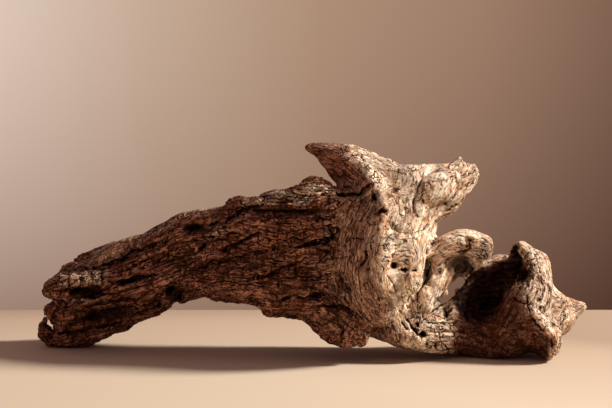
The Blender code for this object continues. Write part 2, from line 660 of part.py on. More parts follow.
def main():
    clear_scene()
    home = collection("dry root")
    tools = collection("cutters")
    axes = [axis_of(stations) for stations in LIMBS.values()]
    root = join_limbs(home)
    carve(root, add_cutters(tools))
    remesh(root, SURFACE_VOXEL)
    shape_surface(root, axes)
    remesh(root, SURFACE_VOXEL)
    thin_out(root, TRIANGLES)
    stand_on_floor(root)
    root.data.materials.clear()
    root.data.materials.append(wood())


main()
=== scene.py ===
import math
import time

import bpy
import numpy as np
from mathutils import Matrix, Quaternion, Vector


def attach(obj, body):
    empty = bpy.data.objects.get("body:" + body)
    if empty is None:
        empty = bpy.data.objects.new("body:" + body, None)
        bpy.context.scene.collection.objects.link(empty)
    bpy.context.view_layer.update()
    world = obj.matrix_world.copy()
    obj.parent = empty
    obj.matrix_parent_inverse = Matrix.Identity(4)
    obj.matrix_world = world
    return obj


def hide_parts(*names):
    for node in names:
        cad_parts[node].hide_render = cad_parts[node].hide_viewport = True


startTime = time.time()
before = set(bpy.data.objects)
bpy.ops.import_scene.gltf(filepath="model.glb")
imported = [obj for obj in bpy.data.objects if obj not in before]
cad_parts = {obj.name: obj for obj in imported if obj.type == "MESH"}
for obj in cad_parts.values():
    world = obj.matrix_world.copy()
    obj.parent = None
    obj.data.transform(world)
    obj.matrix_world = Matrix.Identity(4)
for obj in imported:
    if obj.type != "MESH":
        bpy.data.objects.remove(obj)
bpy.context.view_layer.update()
print("frame loaded")

mm = 0.001
photoShift = np.array([0.62, -2.03, 0.0])      # from the photo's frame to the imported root's, mm
photoEye = np.array([-4.1, -1390.7, 245.9])    # the photo's camera in its own frame, mm


# small helpers

def hexColor(text, alpha=1.0):
    # sRGB hex to linear
    values = [int(text[i:i + 2], 16) / 255 for i in (1, 3, 5)]
    linear = [v / 12.92 if v <= 0.04045 else ((v + 0.055) / 1.055) ** 2.4 for v in values]
    return (*linear, alpha)


def addNode(tree, kind, values):
    # one node: each value sets an attribute or an input, or links an input to a node or to (node, output).
    # Map Range goes from 1, 2 to 3, 4, and a colour Mix takes 6 and 7 and gives its output 2
    node = tree.nodes.new("ShaderNode" + kind)
    for key, value in values.items():
        if isinstance(value, bpy.types.Node):
            value = (value, 0)
        if isinstance(value, tuple) and isinstance(value[0], bpy.types.Node):
            tree.links.new(value[0].outputs[value[1]], node.inputs[key])
        elif isinstance(key, str) and hasattr(node, key):
            setattr(node, key, value)
        else:
            node.inputs[key].default_value = value
    return node


def deselectAll():
    if bpy.context.mode != "OBJECT":
        bpy.ops.object.mode_set(mode="OBJECT")
    bpy.ops.object.select_all(action="DESELECT")


def activate(obj):
    deselectAll()
    obj.select_set(True)
    bpy.context.view_layer.objects.active = obj


def applyModifier(obj, kind, settings):
    activate(obj)
    modifier = obj.modifiers.new(kind.lower(), kind)
    for key, value in settings.items():
        setattr(modifier, key, value)
    bpy.ops.object.modifier_apply(modifier=modifier.name)


# numbers from the mesh

def readPoints(obj):
    points = np.empty(len(obj.data.vertices) * 3)
    obj.data.vertices.foreach_get("co", points)
    return points.reshape(-1, 3) / mm - photoShift


def readNormals(obj):
    normals = np.empty(len(obj.data.vertices) * 3)
    obj.data.vertices.foreach_get("normal", normals)
    return normals.reshape(-1, 3)


def writePoints(obj, points):
    obj.data.vertices.foreach_set("co", ((points + photoShift) * mm).ravel())
    obj.data.update()


def realPlace(x, z, y):
    # the real position of a point of the front view at depth y, and the scale there
    share = 1 - y / photoEye[1]
    place = photoEye + np.array([x - photoEye[0], 0, z - photoEye[2]]) * share
    return np.array([place[0], y, place[2]]), share


def frontView(points):
    # where the sight lines through the points meet the plane y = 0
    share = -photoEye[1] / (points[:, 1] - photoEye[1])
    x, z = (photoEye[k] + (points[:, k] - photoEye[k]) * share for k in (0, 2))
    return x, z


def hashCell(a, b, c, seed):
    # a mixed-up whole number of 31 bits for each cell
    key = (a * 73856093) ^ (b * 19349663) ^ (c * 83492791) ^ (seed * 2654435761)
    return (key ^ (key >> 13)) * 1274126177 & 0x7FFFFFFF


def noise(points, seed):
    # smooth noise, about -1 to 1, with features of about one unit
    cell = np.floor(points).astype(np.int64)
    frac = points - cell
    fade = frac ** 3 * (frac * (frac * 6 - 15) + 10)
    total = np.zeros(len(points))
    for corner in np.ndindex(2, 2, 2):
        at = cell + corner
        key = hashCell(at[:, 0], at[:, 1], at[:, 2], seed)
        turn = (key & 0xFFFF) / 65536 * 2 * math.pi
        rise = (key >> 16) / 32768 * 2 - 1
        flat = np.sqrt(np.maximum(0, 1 - rise ** 2))
        away = frac - corner
        slope = away[:, 0] * flat * np.cos(turn) + away[:, 1] * flat * np.sin(turn) + away[:, 2] * rise
        share = np.ones(len(points))
        for k in range(3):
            share *= fade[:, k] if corner[k] else 1 - fade[:, k]
        total += share * slope
    return total * 1.6


def crackCells(along, turn, ring, sizeAlong, sizeRound, jitter, seed):
    # shrinkage blocks on a limb's skin: distance in mm to the nearest crack, the way to the block's middle,
    # and the block's number. ring is how many blocks go round the limb, so that the pattern closes
    u = along / sizeAlong
    v = (turn + 0.5) * ring
    cellU, cellV = np.floor(u).astype(np.int64), np.floor(v).astype(np.int64)
    sites, best = [], np.full(len(u), np.inf)
    bestU, bestV = np.zeros(len(u)), np.zeros(len(u))
    bestKey = np.zeros(len(u), np.int64)
    for stepU in (-1, 0, 1):
        for stepV in (-1, 0, 1):
            key = hashCell(cellU + stepU, np.mod(cellV + stepV, ring), cellU * 0, seed)
            awayU = (cellU + stepU + 0.5 + ((key & 0x3FF) / 1023 - 0.5) * jitter[0] - u) * sizeAlong
            awayV = (cellV + stepV + 0.5 + (((key >> 10) & 0x3FF) / 1023 - 0.5) * jitter[1] - v) * sizeRound
            sites.append((awayU, awayV))
            size = awayU ** 2 + awayV ** 2
            near = size < best
            for kept, found in ((best, size), (bestU, awayU), (bestV, awayV), (bestKey, key)):
                kept[near] = found[near]
    edge = np.full(len(u), np.inf)
    for awayU, awayV in sites:
        betweenU, betweenV = awayU - bestU, awayV - bestV
        length = np.hypot(betweenU, betweenV)
        gap = ((awayU + bestU) * betweenU + (awayV + bestV) * betweenV) / 2 / np.maximum(length, 1e-6)
        edge = np.where(length > 1e-6, np.minimum(edge, gap), edge)
    return edge, bestU, bestV, bestKey


def smoothStep(low, high, value):
    t = np.clip((value - low) / (high - low), 0, 1)
    return t * t * (3 - 2 * t)


def pathDistance(x, z, path):
    # distance to a path in the front view, the side of it (above is positive), and the share of its length
    path = np.array(path, float)
    lengths = np.hypot(*np.diff(path, axis=0).T)
    reached = np.concatenate([[0], np.cumsum(lengths)])
    best = np.full(len(x), np.inf)
    side, share = np.ones(len(x)), np.zeros(len(x))
    for i, ((ax, az), (bx, bz)) in enumerate(zip(path[:-1], path[1:])):
        ux, uz = bx - ax, bz - az
        t = np.clip(((x - ax) * ux + (z - az) * uz) / (ux * ux + uz * uz), 0, 1)
        gap = np.hypot(x - ax - t * ux, z - az - t * uz)
        near = gap < best
        best[near] = gap[near]
        side[near] = np.where(ux * (z - az) - uz * (x - ax) >= 0, 1.0, -1.0)[near]
        share[near] = ((reached[i] + t * lengths[i]) / reached[-1])[near]
    return best, side, share


# the root's limbs: x, z in the front view, depth y, half-size across and through, mm

limbs = {
    "arm": [
        (-232, 36, 43, 34, 28), (-200, 39, 42, 33, 29), (-176, 47, 40, 32, 31), (-134, 64, 30, 30, 32),
        (-90, 83, 14, 35, 33), (-46, 83.5, -1, 42, 39), (-22, 82, -5, 48, 40), (4, 82.5, -7, 55, 40),
        (20, 84, -8, 56, 41)],
    "topBand": [
        (-226, 53, 36, 4.5, 9), (-206, 62, 34, 6, 11), (-190, 68, 32, 8, 14), (-148, 89.5, 25, 9, 15),
        (-112, 104.5, 14, 10, 16), (-66, 114.5, 0, 10, 14)],
    "ridge": [
        (-62, 126, -6, 8, 11), (-30, 129, -16, 9, 13), (0, 131, -24, 10, 13), (20, 130, -24, 9, 12)],
    "belly": [
        (-34, 48.5, -20, 19.5, 24), (6, 44.5, -29, 20, 25), (32, 24, -35, 20.5, 22),
        (43, 10, -46, 10, 14)],
    "trunk": [
        (72, 0, -12, 26, 28), (62, 40.6, -14, 32, 36), (51, 64, -17, 45, 47), (52, 84, -16, 46, 47),
        (55, 102, -14, 43, 44), (64, 124, -10, 38, 34)],
    "leftHorn": [
        (57, 131, -8, 31, 26), (42, 147, -7, 25.5, 21), (18.4, 162.2, -4, 15, 13), (-9, 171, -2, 4, 5)],
    "rightHorn": [
        (62, 121, -8, 32, 28), (97, 131.8, -4, 24, 17), (122, 144, 0, 16, 11), (137, 160, 3, 6, 5)],
    "loop": [
        (86, 78, -16, 14, 18), (102, 83, -16, 10, 14), (115, 90.5, -13, 10.5, 14),
        (128, 91, -8, 12.5, 14), (144, 88, -2, 11, 12), (152, 74, 4, 12, 12)],
    "loopInner": [
        (110, 82, -4, 12, 11), (104, 68, -11, 13, 14), (96, 45, -21, 9, 12), (92, 36, -23, 10, 12)],
    "base": [
        (60, 25.5, -14, 15, 30), (102, 20, -6, 19.5, 31), (144, 15.5, -1, 21.5, 28),
        (182, 19, -16, 21, 30), (196, 12, -24, 16, 24)],
    "bowlRim": [
        (94, 20, -18, 14, 14), (124, 40, -8, 12, 12), (137, 55, 0, 14, 11), (156, 64, 9, 15, 12)],
    "lobe": [
        (158, 10, -16, 17, 22), (172, 36, -13, 20, 25), (181, 55, -6, 17, 24), (177, 79, 6, 14, 14),
        (170, 92, 9, 8, 9)],
    "tip": [
        (186, 34, 0, 26, 24), (200, 33.2, 4, 20, 19), (215, 37, 9, 11, 9), (231, 40.5, 11, 3, 3)],
}
limbNames = list(limbs)
axisSpacing = 4       # mm between the samples of a limb's middle
farthest = 90         # mm, more than from any point of the skin to its limb's middle


def curveThrough(rows, spacing):
    # a smooth curve through the rows, in even steps
    rows = np.array(rows, float)
    ends = np.vstack([2 * rows[0] - rows[1], rows, 2 * rows[-1] - rows[-2]])
    found = []
    for i in range(1, len(ends) - 2):
        a, b, c, d = ends[i - 1:i + 3]
        steps = max(2, round(np.linalg.norm(c[:3] - b[:3]) / spacing))
        for k in range(steps):
            t = k / steps
            found.append(0.5 * (2 * b + (c - a) * t + (2 * a - 5 * b + 4 * c - d) * t ** 2
                                + (3 * b - a - 3 * c + d) * t ** 3))
    found.append(rows[-1])
    return np.array(found)


def limbAxis(stations):
    # samples along a limb's middle: place, directions along, across and through, half-sizes, length so far
    rows = []
    for x, z, y, across, through in stations:
        centre, share = realPlace(x, z, y)
        rows.append((*centre, across * share, through * share))
    rows = curveThrough(rows, axisSpacing)
    centres = rows[:, :3]
    along = np.gradient(centres, axis=0)
    along /= np.linalg.norm(along, axis=1)[:, None]
    across = np.cross(along, (0, -1, 0))
    across /= np.linalg.norm(across, axis=1)[:, None]
    through = np.cross(along, across)
    length = np.concatenate([[0], np.cumsum(np.linalg.norm(np.diff(centres, axis=0), axis=1))])
    return {"centres": centres, "along": along, "across": across, "through": through,
            "half": rows[:, 3:], "length": length}


axes = [limbAxis(stations) for stations in limbs.values()]


def nearestLimb(points):
    # for each point: its limb and the sample of that limb's axis it belongs to
    best = np.full(len(points), np.inf)
    limb = np.zeros(len(points), np.int32)
    sample = np.zeros(len(points), np.int32)
    for number, axis in enumerate(axes):
        for i in range(len(axis["centres"])):
            away = points - axis["centres"][i]
            near = np.flatnonzero((away ** 2).sum(axis=1) < farthest ** 2)
            w = away[near] @ axis["across"][i] / axis["half"][i, 0]
            d = away[near] @ axis["through"][i] / axis["half"][i, 1]
            s = away[near] @ axis["along"][i] / axis["half"][i].min()
            size = w * w + d * d + s * s
            closer = size < best[near]
            rows = near[closer]
            best[rows] = size[closer]
            limb[rows] = number
            sample[rows] = i
    return limb, sample


def limbSpace(points, limb, sample):
    # distance along, across and through the limb, and round it (in turns), for points with a known limb
    s, w, d, turn = (np.zeros(len(points)) for _ in range(4))
    for number, axis in enumerate(axes):
        rows = np.flatnonzero(limb == number)
        if not len(rows):
            continue
        last = len(axis["centres"]) - 1
        i = sample[rows]
        away = points[rows] - axis["centres"][i]
        step = np.gradient(axis["length"])[i]
        u = np.clip(i + (away * axis["along"][i]).sum(axis=1) / step, 0, last)
        low = np.minimum(u.astype(int), last - 1)
        t = (u - low)[:, None]

        def between(values):
            return values[low] * (1 - t) + values[low + 1] * t

        away = points[rows] - between(axis["centres"])
        along, across, through = (between(axis[k]) for k in ("along", "across", "through"))
        half = between(axis["half"])
        s[rows] = between(axis["length"][:, None])[:, 0] + (away * along).sum(axis=1)
        w[rows] = (away * across).sum(axis=1)
        d[rows] = (away * through).sum(axis=1)
        turn[rows] = np.arctan2(w[rows] / half[:, 0], -d[rows] / half[:, 1]) / (2 * math.pi)
    return s, w, d, turn


# the root's skin

rootLooks = {
    "voxel": 0.8,       # mm, spacing of the skin while it is carved
    "faces": 195000,                           # triangles of the finished piece
    "blockAlong": 8.5, "blockRound": 6.5,      # mm, shrinkage blocks of dry root wood
    "blockStep": 1.2,                          # mm, how far one block stands above another
    "crackWidth": 0.9, "crackDepth": 1.1,      # mm, half-width and depth of the gaps between them
    "layerHeight": 1.1,                        # mm, steps between torn layers of wood
    "grainHeight": 0.45,                       # mm, raised fibres
    "splitDepth": 1.8,                         # mm, long drying splits
    "ledgeRise": 1.35,                         # how strongly the torn layers stand out
    "lineReach": 3.0, "lineShare": 0.42,       # mm round a fissure where it is drawn, its drawn share
    # the slot behind the left end's hook: x, z, y, half-sizes across, up and through in mm, lean in degrees
    "hookGap": (-215.6, 25.5, 40, 1.5, 8.5, 90, -26),
    # block row, step under the arm, four rough edges of the loop's slot, the right horn's lit face:
    # x, z, y, half-sizes across, up and through in mm, lean and yaw in degrees
    "lumps": [
        (-192, 57, -4, 29, 10, 11, 11, 16), (-157, 24.5, 33, 9, 7, 14, 5, 0),
        (110, 51, -12, 2.6, 3.6, 8, 0, 0), (120.5, 51.5, -6, 2.2, 3, 8, 0, 0),
        (127.5, 65.5, -4, 3.4, 3.2, 9, 0, 0), (104, 43, -16, 3, 2.6, 8, 0, 0),
        (103, 136, -17, 25, 13, 12, 30, 24)],
}

# how rough each limb is: blocks, layers, long splits
roughness = {
    "arm": (0.75, 1.8, 1.0), "topBand": (0.6, 0.5, 0.6), "ridge": (0.6, 1.6, 1.3),
    "belly": (0.8, 0.8, 0.6), "trunk": (0.45, 0.25, 0.5), "leftHorn": (0.6, 0.3, 0.7),
    "rightHorn": (0.4, 0.2, 0.4), "loop": (0.5, 0.3, 0.4), "loopInner": (0.3, 0.5, 0.4),
    "base": (0.75, 0.3, 0.5), "bowlRim": (0.5, 0.4, 0.5), "lobe": (0.7, 0.3, 0.5), "tip": (0.4, 0.3, 0.4),
}

# fissures seen from the front: points, half-width, depth
fissures = [
    ([(-99, 72.6), (-88, 73.8), (-79.5, 77.5), (-69.8, 78), (-59, 81), (-48, 84.8), (-38, 86),
      (-32, 87)], 2.0, 4.5),
    ([(-76, 83), (-68, 90), (-57.6, 94), (-48, 97.7), (-43, 100)], 2.0, 4.5),
    ([(-43, 100), (-44, 94), (-42, 91), (-45, 86.5)], 1.3, 3),
    ([(-50, 119.5), (-30, 118.5), (-10, 119), (0, 119)], 1.8, 4.5),
    ([(-40, 110), (-30, 113.5), (-15, 115)], 1.3, 3), ([(-30, 126), (-22, 125), (-19, 121)], 1.6, 3.5),
    ([(-16, 88), (-8, 90), (0, 92), (9, 94.4), (17.6, 94.6)], 1.6, 4),
    ([(14.5, 108), (15.8, 103), (17.6, 97), (21.2, 100.7), (21.8, 106.9)], 1.6, 4),
    ([(3, 110), (8, 113.5), (13, 112), (17, 109)], 1.2, 2.5),
    ([(-48, 64), (-33.4, 66.5), (-25, 71.4), (-12.7, 75), (-12.7, 63)], 1.6, 3.5),
    ([(-26, 44), (-13, 49), (-6.7, 46.3), (0.6, 47.5)], 1.6, 4),
    ([(-1, 46), (4, 48.5), (10, 50)], 2.6, 6), ([(21, 66.5), (27, 60.3), (31.6, 53)], 1.6, 4),
    ([(20.8, 133), (39.4, 132.4), (46.8, 140.5), (50, 141)], 1.4, 3.5),
    ([(52, 127), (52.6, 133)], 2.6, 6), ([(52, 115), (60, 121)], 1.8, 4),
    ([(45, 85.5), (45, 78), (40.6, 73)], 1.8, 5), ([(67.2, 71), (69, 76)], 2, 4.5),
    ([(74, 70), (80, 70)], 1.6, 3.5), ([(83, 69), (87, 69)], 1.4, 3),
    ([(67.8, 76.8), (67.2, 83), (71.5, 84.5), (80, 86), (85, 85.5)], 0.6, 1.4),
    ([(55, 77), (67, 77)], 0.5, 1.2), ([(55, 90), (75, 90.5)], 0.5, 1.2),
    ([(60, 95), (84, 95.6)], 0.5, 1.2), ([(84.5, 117), (84, 124), (85, 131)], 0.9, 1.8),
    ([(65, 110), (68, 105), (72, 101), (80, 100), (87, 100.5), (93, 103), (96, 106)], 0.7, 0.8),
    ([(98.9, 76), (93.8, 58), (88, 50.5), (87.7, 44), (91, 39)], 1.6, 2),
    ([(62.3, 66), (67.8, 58), (70.3, 50.5)], 0.9, 2), ([(75, 27), (80, 20)], 1.3, 3),
    ([(78, 31), (84, 22), (90, 14)], 1.3, 3),
    ([(-178, 71), (-175.5, 71.4), (-163, 76.7), (-154.5, 79.3), (-147.5, 84.6), (-137, 88),
      (-128, 92.5), (-119.6, 94.3)], 2.2, 5),
    ([(-203, 68.5), (-195, 70.5), (-183, 72)], 1.2, 3),
    ([(-215, 60), (-205, 64), (-198, 63)], 1.3, 3.5), ([(-199, 54), (-199, 63)], 0.9, 3),
    ([(-190, 55), (-190.4, 64)], 0.9, 3), ([(-180.5, 56), (-180.5, 68)], 0.8, 2.5),
    ([(-172, 57), (-172, 68)], 1, 3), ([(-180, 43), (-170, 45), (-160, 44), (-150, 48)], 1.2, 3),
    ([(-178, 40), (-165, 42)], 1, 2.5),
    ([(-190, 25), (-182, 31), (-175, 34), (-168, 37), (-150, 40), (-140, 37)], 2.2, 5),
    ([(-148, 33), (-130, 38), (-122, 41)], 1, 2.5), ([(-118.7, 50), (-115, 56)], 2.6, 6),
    ([(-112, 44), (-107, 50)], 2.6, 6), ([(-126.6, 46), (-124.8, 40)], 2, 4),
    ([(-158, 59), (-140, 64), (-128, 66)], 1.5, 3.5), ([(-102, 104), (-96, 104.8), (-90, 105)], 2.8, 6),
    ([(-84, 106), (-77, 109)], 1.8, 4), ([(-91, 87), (-87, 91.5)], 2, 4),
    ([(-72, 104), (-68, 112), (-60, 117), (-54, 122)], 1.5, 3.5), ([(-58, 127), (-52, 121)], 1.2, 3),
    ([(95.7, 12.4), (96.3, 6)], 1, 3), ([(94, 26), (118, 26)], 0.8, 2), ([(96, 18), (122, 18)], 0.8, 2),
    ([(111, 36), (112, 30)], 1.4, 4), ([(103, 47), (107, 42)], 0.9, 2),
    ([(167, 86), (172, 80), (174, 72)], 2, 4),
    ([(129, 97), (131, 93), (131, 88), (128, 86), (119, 84.5)], 1.2, 3),
    ([(166, 48), (172, 43), (178, 41)], 1.2, 3), ([(199, 4), (199, 13)], 1.4, 4),
    ([(20, 30), (27, 20), (25, 14)], 1.5, 3.5), ([(36, 34), (26, 40), (14, 40), (2, 40)], 1.6, 3.5),
    ([(-200, 46), (-180, 47), (-163, 50), (-145, 54.5), (-132, 58.5)], 2.0, 4.5),
    ([(-190, 36), (-177.5, 41), (-163, 43), (-149, 44), (-134.5, 47)], 1.8, 4),
    ([(-211, 17), (-190, 18.5), (-177.5, 21.5), (-163, 23.5), (-154, 28)], 1.8, 4),
    ([(90.7, 33.6), (98, 34), (107, 39.3), (116.5, 45.5), (122.5, 54), (131, 64), (139, 71)], 1.0, 2.2),
    ([(96.8, 25), (106.6, 24.5)], 0.8, 1.8), ([(102.5, 9.5), (103.5, 3.3)], 1.0, 2.5),
    ([(110, 8), (114, 3)], 1.0, 2.2), ([(92.5, 32), (92, 27)], 0.8, 1.8),
    ([(102, 32), (103, 28)], 0.8, 1.8), ([(106, 18), (107, 12)], 0.8, 1.8),
    ([(115, 24), (115.5, 19)], 0.8, 1.8), ([(178, 50), (179, 40), (183, 28), (192, 18)], 1.3, 2.5),
]


# edges of torn layers: path, rise of the wood above the line (below it sinks as much), reach, mm
ledges = [
    ([(-178, 71.4), (-163, 76.7), (-154.5, 79.3), (-147.5, 84.6), (-137, 88), (-128, 92.5),
      (-119.6, 94.3)], 1.5, 6),
    ([(-206, 66), (-195, 70.5), (-183, 72)], 1.2, 4),
    ([(-214, 61.5), (-200, 63), (-190, 64), (-181, 68.5), (-171, 69)], -1.3, 4),
    ([(-210, 54.5), (-199, 55), (-190, 57), (-180, 57.5), (-170, 57)], 2.6, 7),
    ([(-200, 46), (-186, 48), (-172, 49), (-158, 54), (-146, 60)], -1.2, 4),
    ([(-190, 41), (-178, 43), (-168, 45.5), (-158, 44), (-148, 48)], 1.1, 4),
    ([(-150, 33), (-136, 37.5), (-122, 42), (-108, 50)], 1.0, 4),
    ([(-99, 72.6), (-88, 73.8), (-79.5, 77.5), (-69.8, 78), (-59, 81), (-48, 84.8), (-38, 86),
      (-30, 87)], 1.8, 7),
    ([(-76, 83), (-68, 90), (-57.6, 94), (-48, 97.7), (-43, 100)], 1.4, 5),
    ([(-50, 119.5), (-30, 118.5), (-10, 119), (2, 119)], 1.6, 6),
    ([(-44, 129.6), (-30, 129), (-14, 129.5), (-4, 131.5), (8, 131)], 1.8, 5),
    ([(-52, 124.5), (-36, 123.6), (-20, 124)], 1.3, 4),
    ([(-22, 134.8), (-10, 134.5), (4, 136)], 1.2, 4), ([(-50, 115), (-38, 115.5), (-26, 116)], -0.9, 4),
    ([(-130, 66), (-118, 70), (-104, 70.5)], 1.0, 5),
    ([(-16, 88), (-8, 90), (0, 92), (9, 94.4), (17.6, 94.6)], 1.4, 6),
    ([(-48, 64), (-33.4, 66.5), (-25, 71.4), (-12.7, 75)], 1.2, 6),
    ([(20.8, 133), (39.4, 132.4), (46.8, 140.5)], 1.0, 5),
    ([(104, 33), (112, 40), (120, 47), (128, 57)], 0.9, 4),
    ([(-212, 50), (-200, 50.5), (-186, 46), (-176, 44.5)], -1.3, 4),
    ([(-208, 30), (-196, 34), (-184, 38), (-172, 39)], 1.4, 4),
    ([(-160, 70), (-148, 74), (-134, 79), (-122, 84)], 1.2, 4),
    ([(-168, 59), (-154, 62), (-140, 66), (-128, 67)], 1.3, 4),
    ([(-206, 20), (-192, 24), (-180, 28), (-168, 31)], -1.3, 4),
    ([(-36, 138), (-20, 138), (-6, 141)], 1.0, 3),
    ([(-32, 126.5), (-20, 129), (-6, 128.5), (8, 127)], 1.2, 3),
    ([(-140, 52), (-126, 57), (-112, 60)], 1.0, 4), ([(-100, 96), (-86, 97), (-74, 99)], 1.1, 4),
    ([(-60, 70), (-44, 73), (-30, 77)], 1.0, 5),
]

# places that swell: x, z, half-width, half-height, amount in mm
swellings = [
    (106, 62, 10, 17, 2.6), (93, 49, 8, 17, 7.0), (85, 54, 6, 20, 4.0), (-191, 60, 20, 6, 1.6),
    (1, 79, 13, 13, 1.6), (-57, 126, 7, 6, 1.0), (-153, 29, 6, 6, 1.2), (60, 121, 7, 6, 0.5),
    (-86, 102, 16, 5, -1.2), (-60, 92, 12, 5, -1.4), (-160, 36, 14, 6, -1.6), (123, 72, 7, 8, -2.0),
    (90, 142, 14, 14, 2.5), (126, 140, 16, 14, -2.0), (112, 92, 8, 8, 2.0), (140, 48, 16, 14, -5.0),
]

# holes seen from the front: x, z, half-width, half-height, depth, mm
holes = [
    (-99, 104.2, 2.8, 2.2, 4), (-93, 105.2, 2.8, 2.1, 4.5), (-80.5, 107.5, 3.4, 1.7, 4),
    (-82, 96, 1.7, 1.7, 3), (-89, 89, 2.4, 2.8, 5), (-117, 53, 2.2, 3.4, 6), (-109.5, 47, 2.8, 3.4, 6),
    (-126.6, 46, 1.8, 1.8, 4), (-124.8, 40, 1.6, 1.6, 4), (3.5, 48, 2.8, 2.0, 5),
    (51.5, 130.5, 2.2, 3.6, 6), (68.5, 73.5, 1.7, 2.8, 4), (77, 70, 2.2, 0.9, 2),
    (85, 69, 1.4, 0.8, 1.5), (45, 82, 1.4, 3.8, 6), (92.2, 16, 2.9, 2.9, 9), (88.2, 24, 1.4, 2.1, 5),
    (110, 125, 1.5, 1.5, 4), (120.5, 124, 1.5, 1.5, 4), (69, 135.5, 2.2, 2.2, 2),
    (176, 65, 6.5, 6.5, 9), (-70, 85, 2.8, 2.2, 5), (-178, 71, 3.2, 1.8, 5), (-187, 52.5, 13, 3.6, 6),
    (-181, 31, 3.6, 2.6, 6), (-160, 33, 9, 3.5, 4), (-8, 119, 5, 1.5, 4), (-25, 119, 5, 1.5, 4),
    (17.5, 98, 1.6, 2.2, 4), (31, 54, 1.6, 3.5, 3), (199, 8, 1.1, 4.5, 4), (168, 84, 3, 5, 3),
    (131, 95, 1.2, 2.2, 4), (-215.5, 15, 4, 3.5, 4), (188, 45, 1.6, 1.6, 1.5), (200, 24, 1.6, 1.6, 1.5),
    (60, 118, 2.4, 2.2, 3), (47, 70.5, 1.8, 1.4, 3),
]

# knots that turn the grain: x, z, reach, mm
knots = [
    (69, 135.5, 11), (79, 128, 9), (188, 45, 10), (200, 24, 10), (110, 125, 9), (62, 118, 10),
    (97, 66, 9),
]

# where the grain runs across the limb: x, z, half-sizes, mm
crossGrain = [(70, 82, 19, 16)]


def carveSkin(root):
    # fissures, ledges and holes of the side that the photo shows
    points, normals = readPoints(root), readNormals(root)
    x, z = frontView(points)
    towards = photoEye - points
    towards /= np.linalg.norm(towards, axis=1)[:, None]
    front = smoothStep(-0.2, 0.25, (normals * towards).sum(axis=1))
    x, z = wander(x, z)
    swell = 0.25 * noise(points / 4, 45)
    ragged = 1 + 0.5 * noise(points / 3.5, 46) + 0.35 * noise(points / 1.7, 47)
    depth, rise = np.zeros(len(points)), np.zeros(len(points))
    for path, width, sink in fissures:
        near = boxAround(x, z, path, 6)
        gap, _, share = pathDistance(x[near], z[near], path)
        taper = np.clip(np.minimum(share, 1 - share) * 6, 0.25, 1)
        found = sink * np.clip(1 - gap * (1 + swell[near]) / width, 0, 1) ** 0.8 * taper
        depth[near] = np.maximum(depth[near], found)
    for path, step, reach in ledges:
        near = boxAround(x, z, path, reach * 3)
        gap, side, share = pathDistance(x[near], z[near], path)
        taper = np.clip(np.minimum(share, 1 - share) * 5, 0, 1)
        shape = np.tanh(side * gap / 0.7) * np.exp(-gap / reach) * taper
        rise[near] += rootLooks["ledgeRise"] * step * shape
    for atX, atZ, halfX, halfZ, amount in swellings:
        rise += amount * np.exp(-2 * (((x - atX) / halfX) ** 2 + ((z - atZ) / halfZ) ** 2)) * (front > 0.01)
    points += normals * ((rise - depth) * front)[:, None]
    for atX, atZ, halfX, halfZ, sink in holes:
        size = np.hypot((x - atX) / halfX, (z - atZ) / halfZ) * ragged
        points -= towards * (sink * np.sqrt(np.clip(1 - size ** 2, 0, 1)) * front)[:, None]
    writePoints(root, points)


def wander(x, z):
    # lets drawn lines waver like split wood; the same at any depth
    flat = np.column_stack([x, z, x * 0])
    return (x + noise(flat / 5.3, 41) + 0.5 * noise(flat / 2.1, 42),
            z + noise(flat / 5.3, 43) + 0.5 * noise(flat / 2.1, 44))


def boxAround(x, z, path, margin):
    path = np.array(path)
    low, high = path.min(axis=0) - margin, path.max(axis=0) + margin
    return np.flatnonzero((x > low[0]) & (x < high[0]) & (z > low[1]) & (z < high[1]))


def lineFields(x, z):
    # signed distance to the nearest fissure and its half-width there, both in mm. The width fades out with
    # the distance, so that the sign's jump between two fissures draws nothing
    x, z = wander(x, z)
    reach = rootLooks["lineReach"]
    best = np.full(len(x), reach)
    signed, width = np.full(len(x), reach), np.zeros(len(x))
    for path, half, _ in fissures:
        rows = boxAround(x, z, path, reach)
        gap, side, share = pathDistance(x[rows], z[rows], path)
        near = gap < best[rows]
        rows, gap, side, share = rows[near], gap[near], side[near], share[near]
        best[rows] = gap
        signed[rows] = gap * side
        taper = np.clip(np.minimum(share, 1 - share) * 6, 0, 1)
        width[rows] = rootLooks["lineShare"] * half * taper * (1 - gap / reach)
    return signed, width


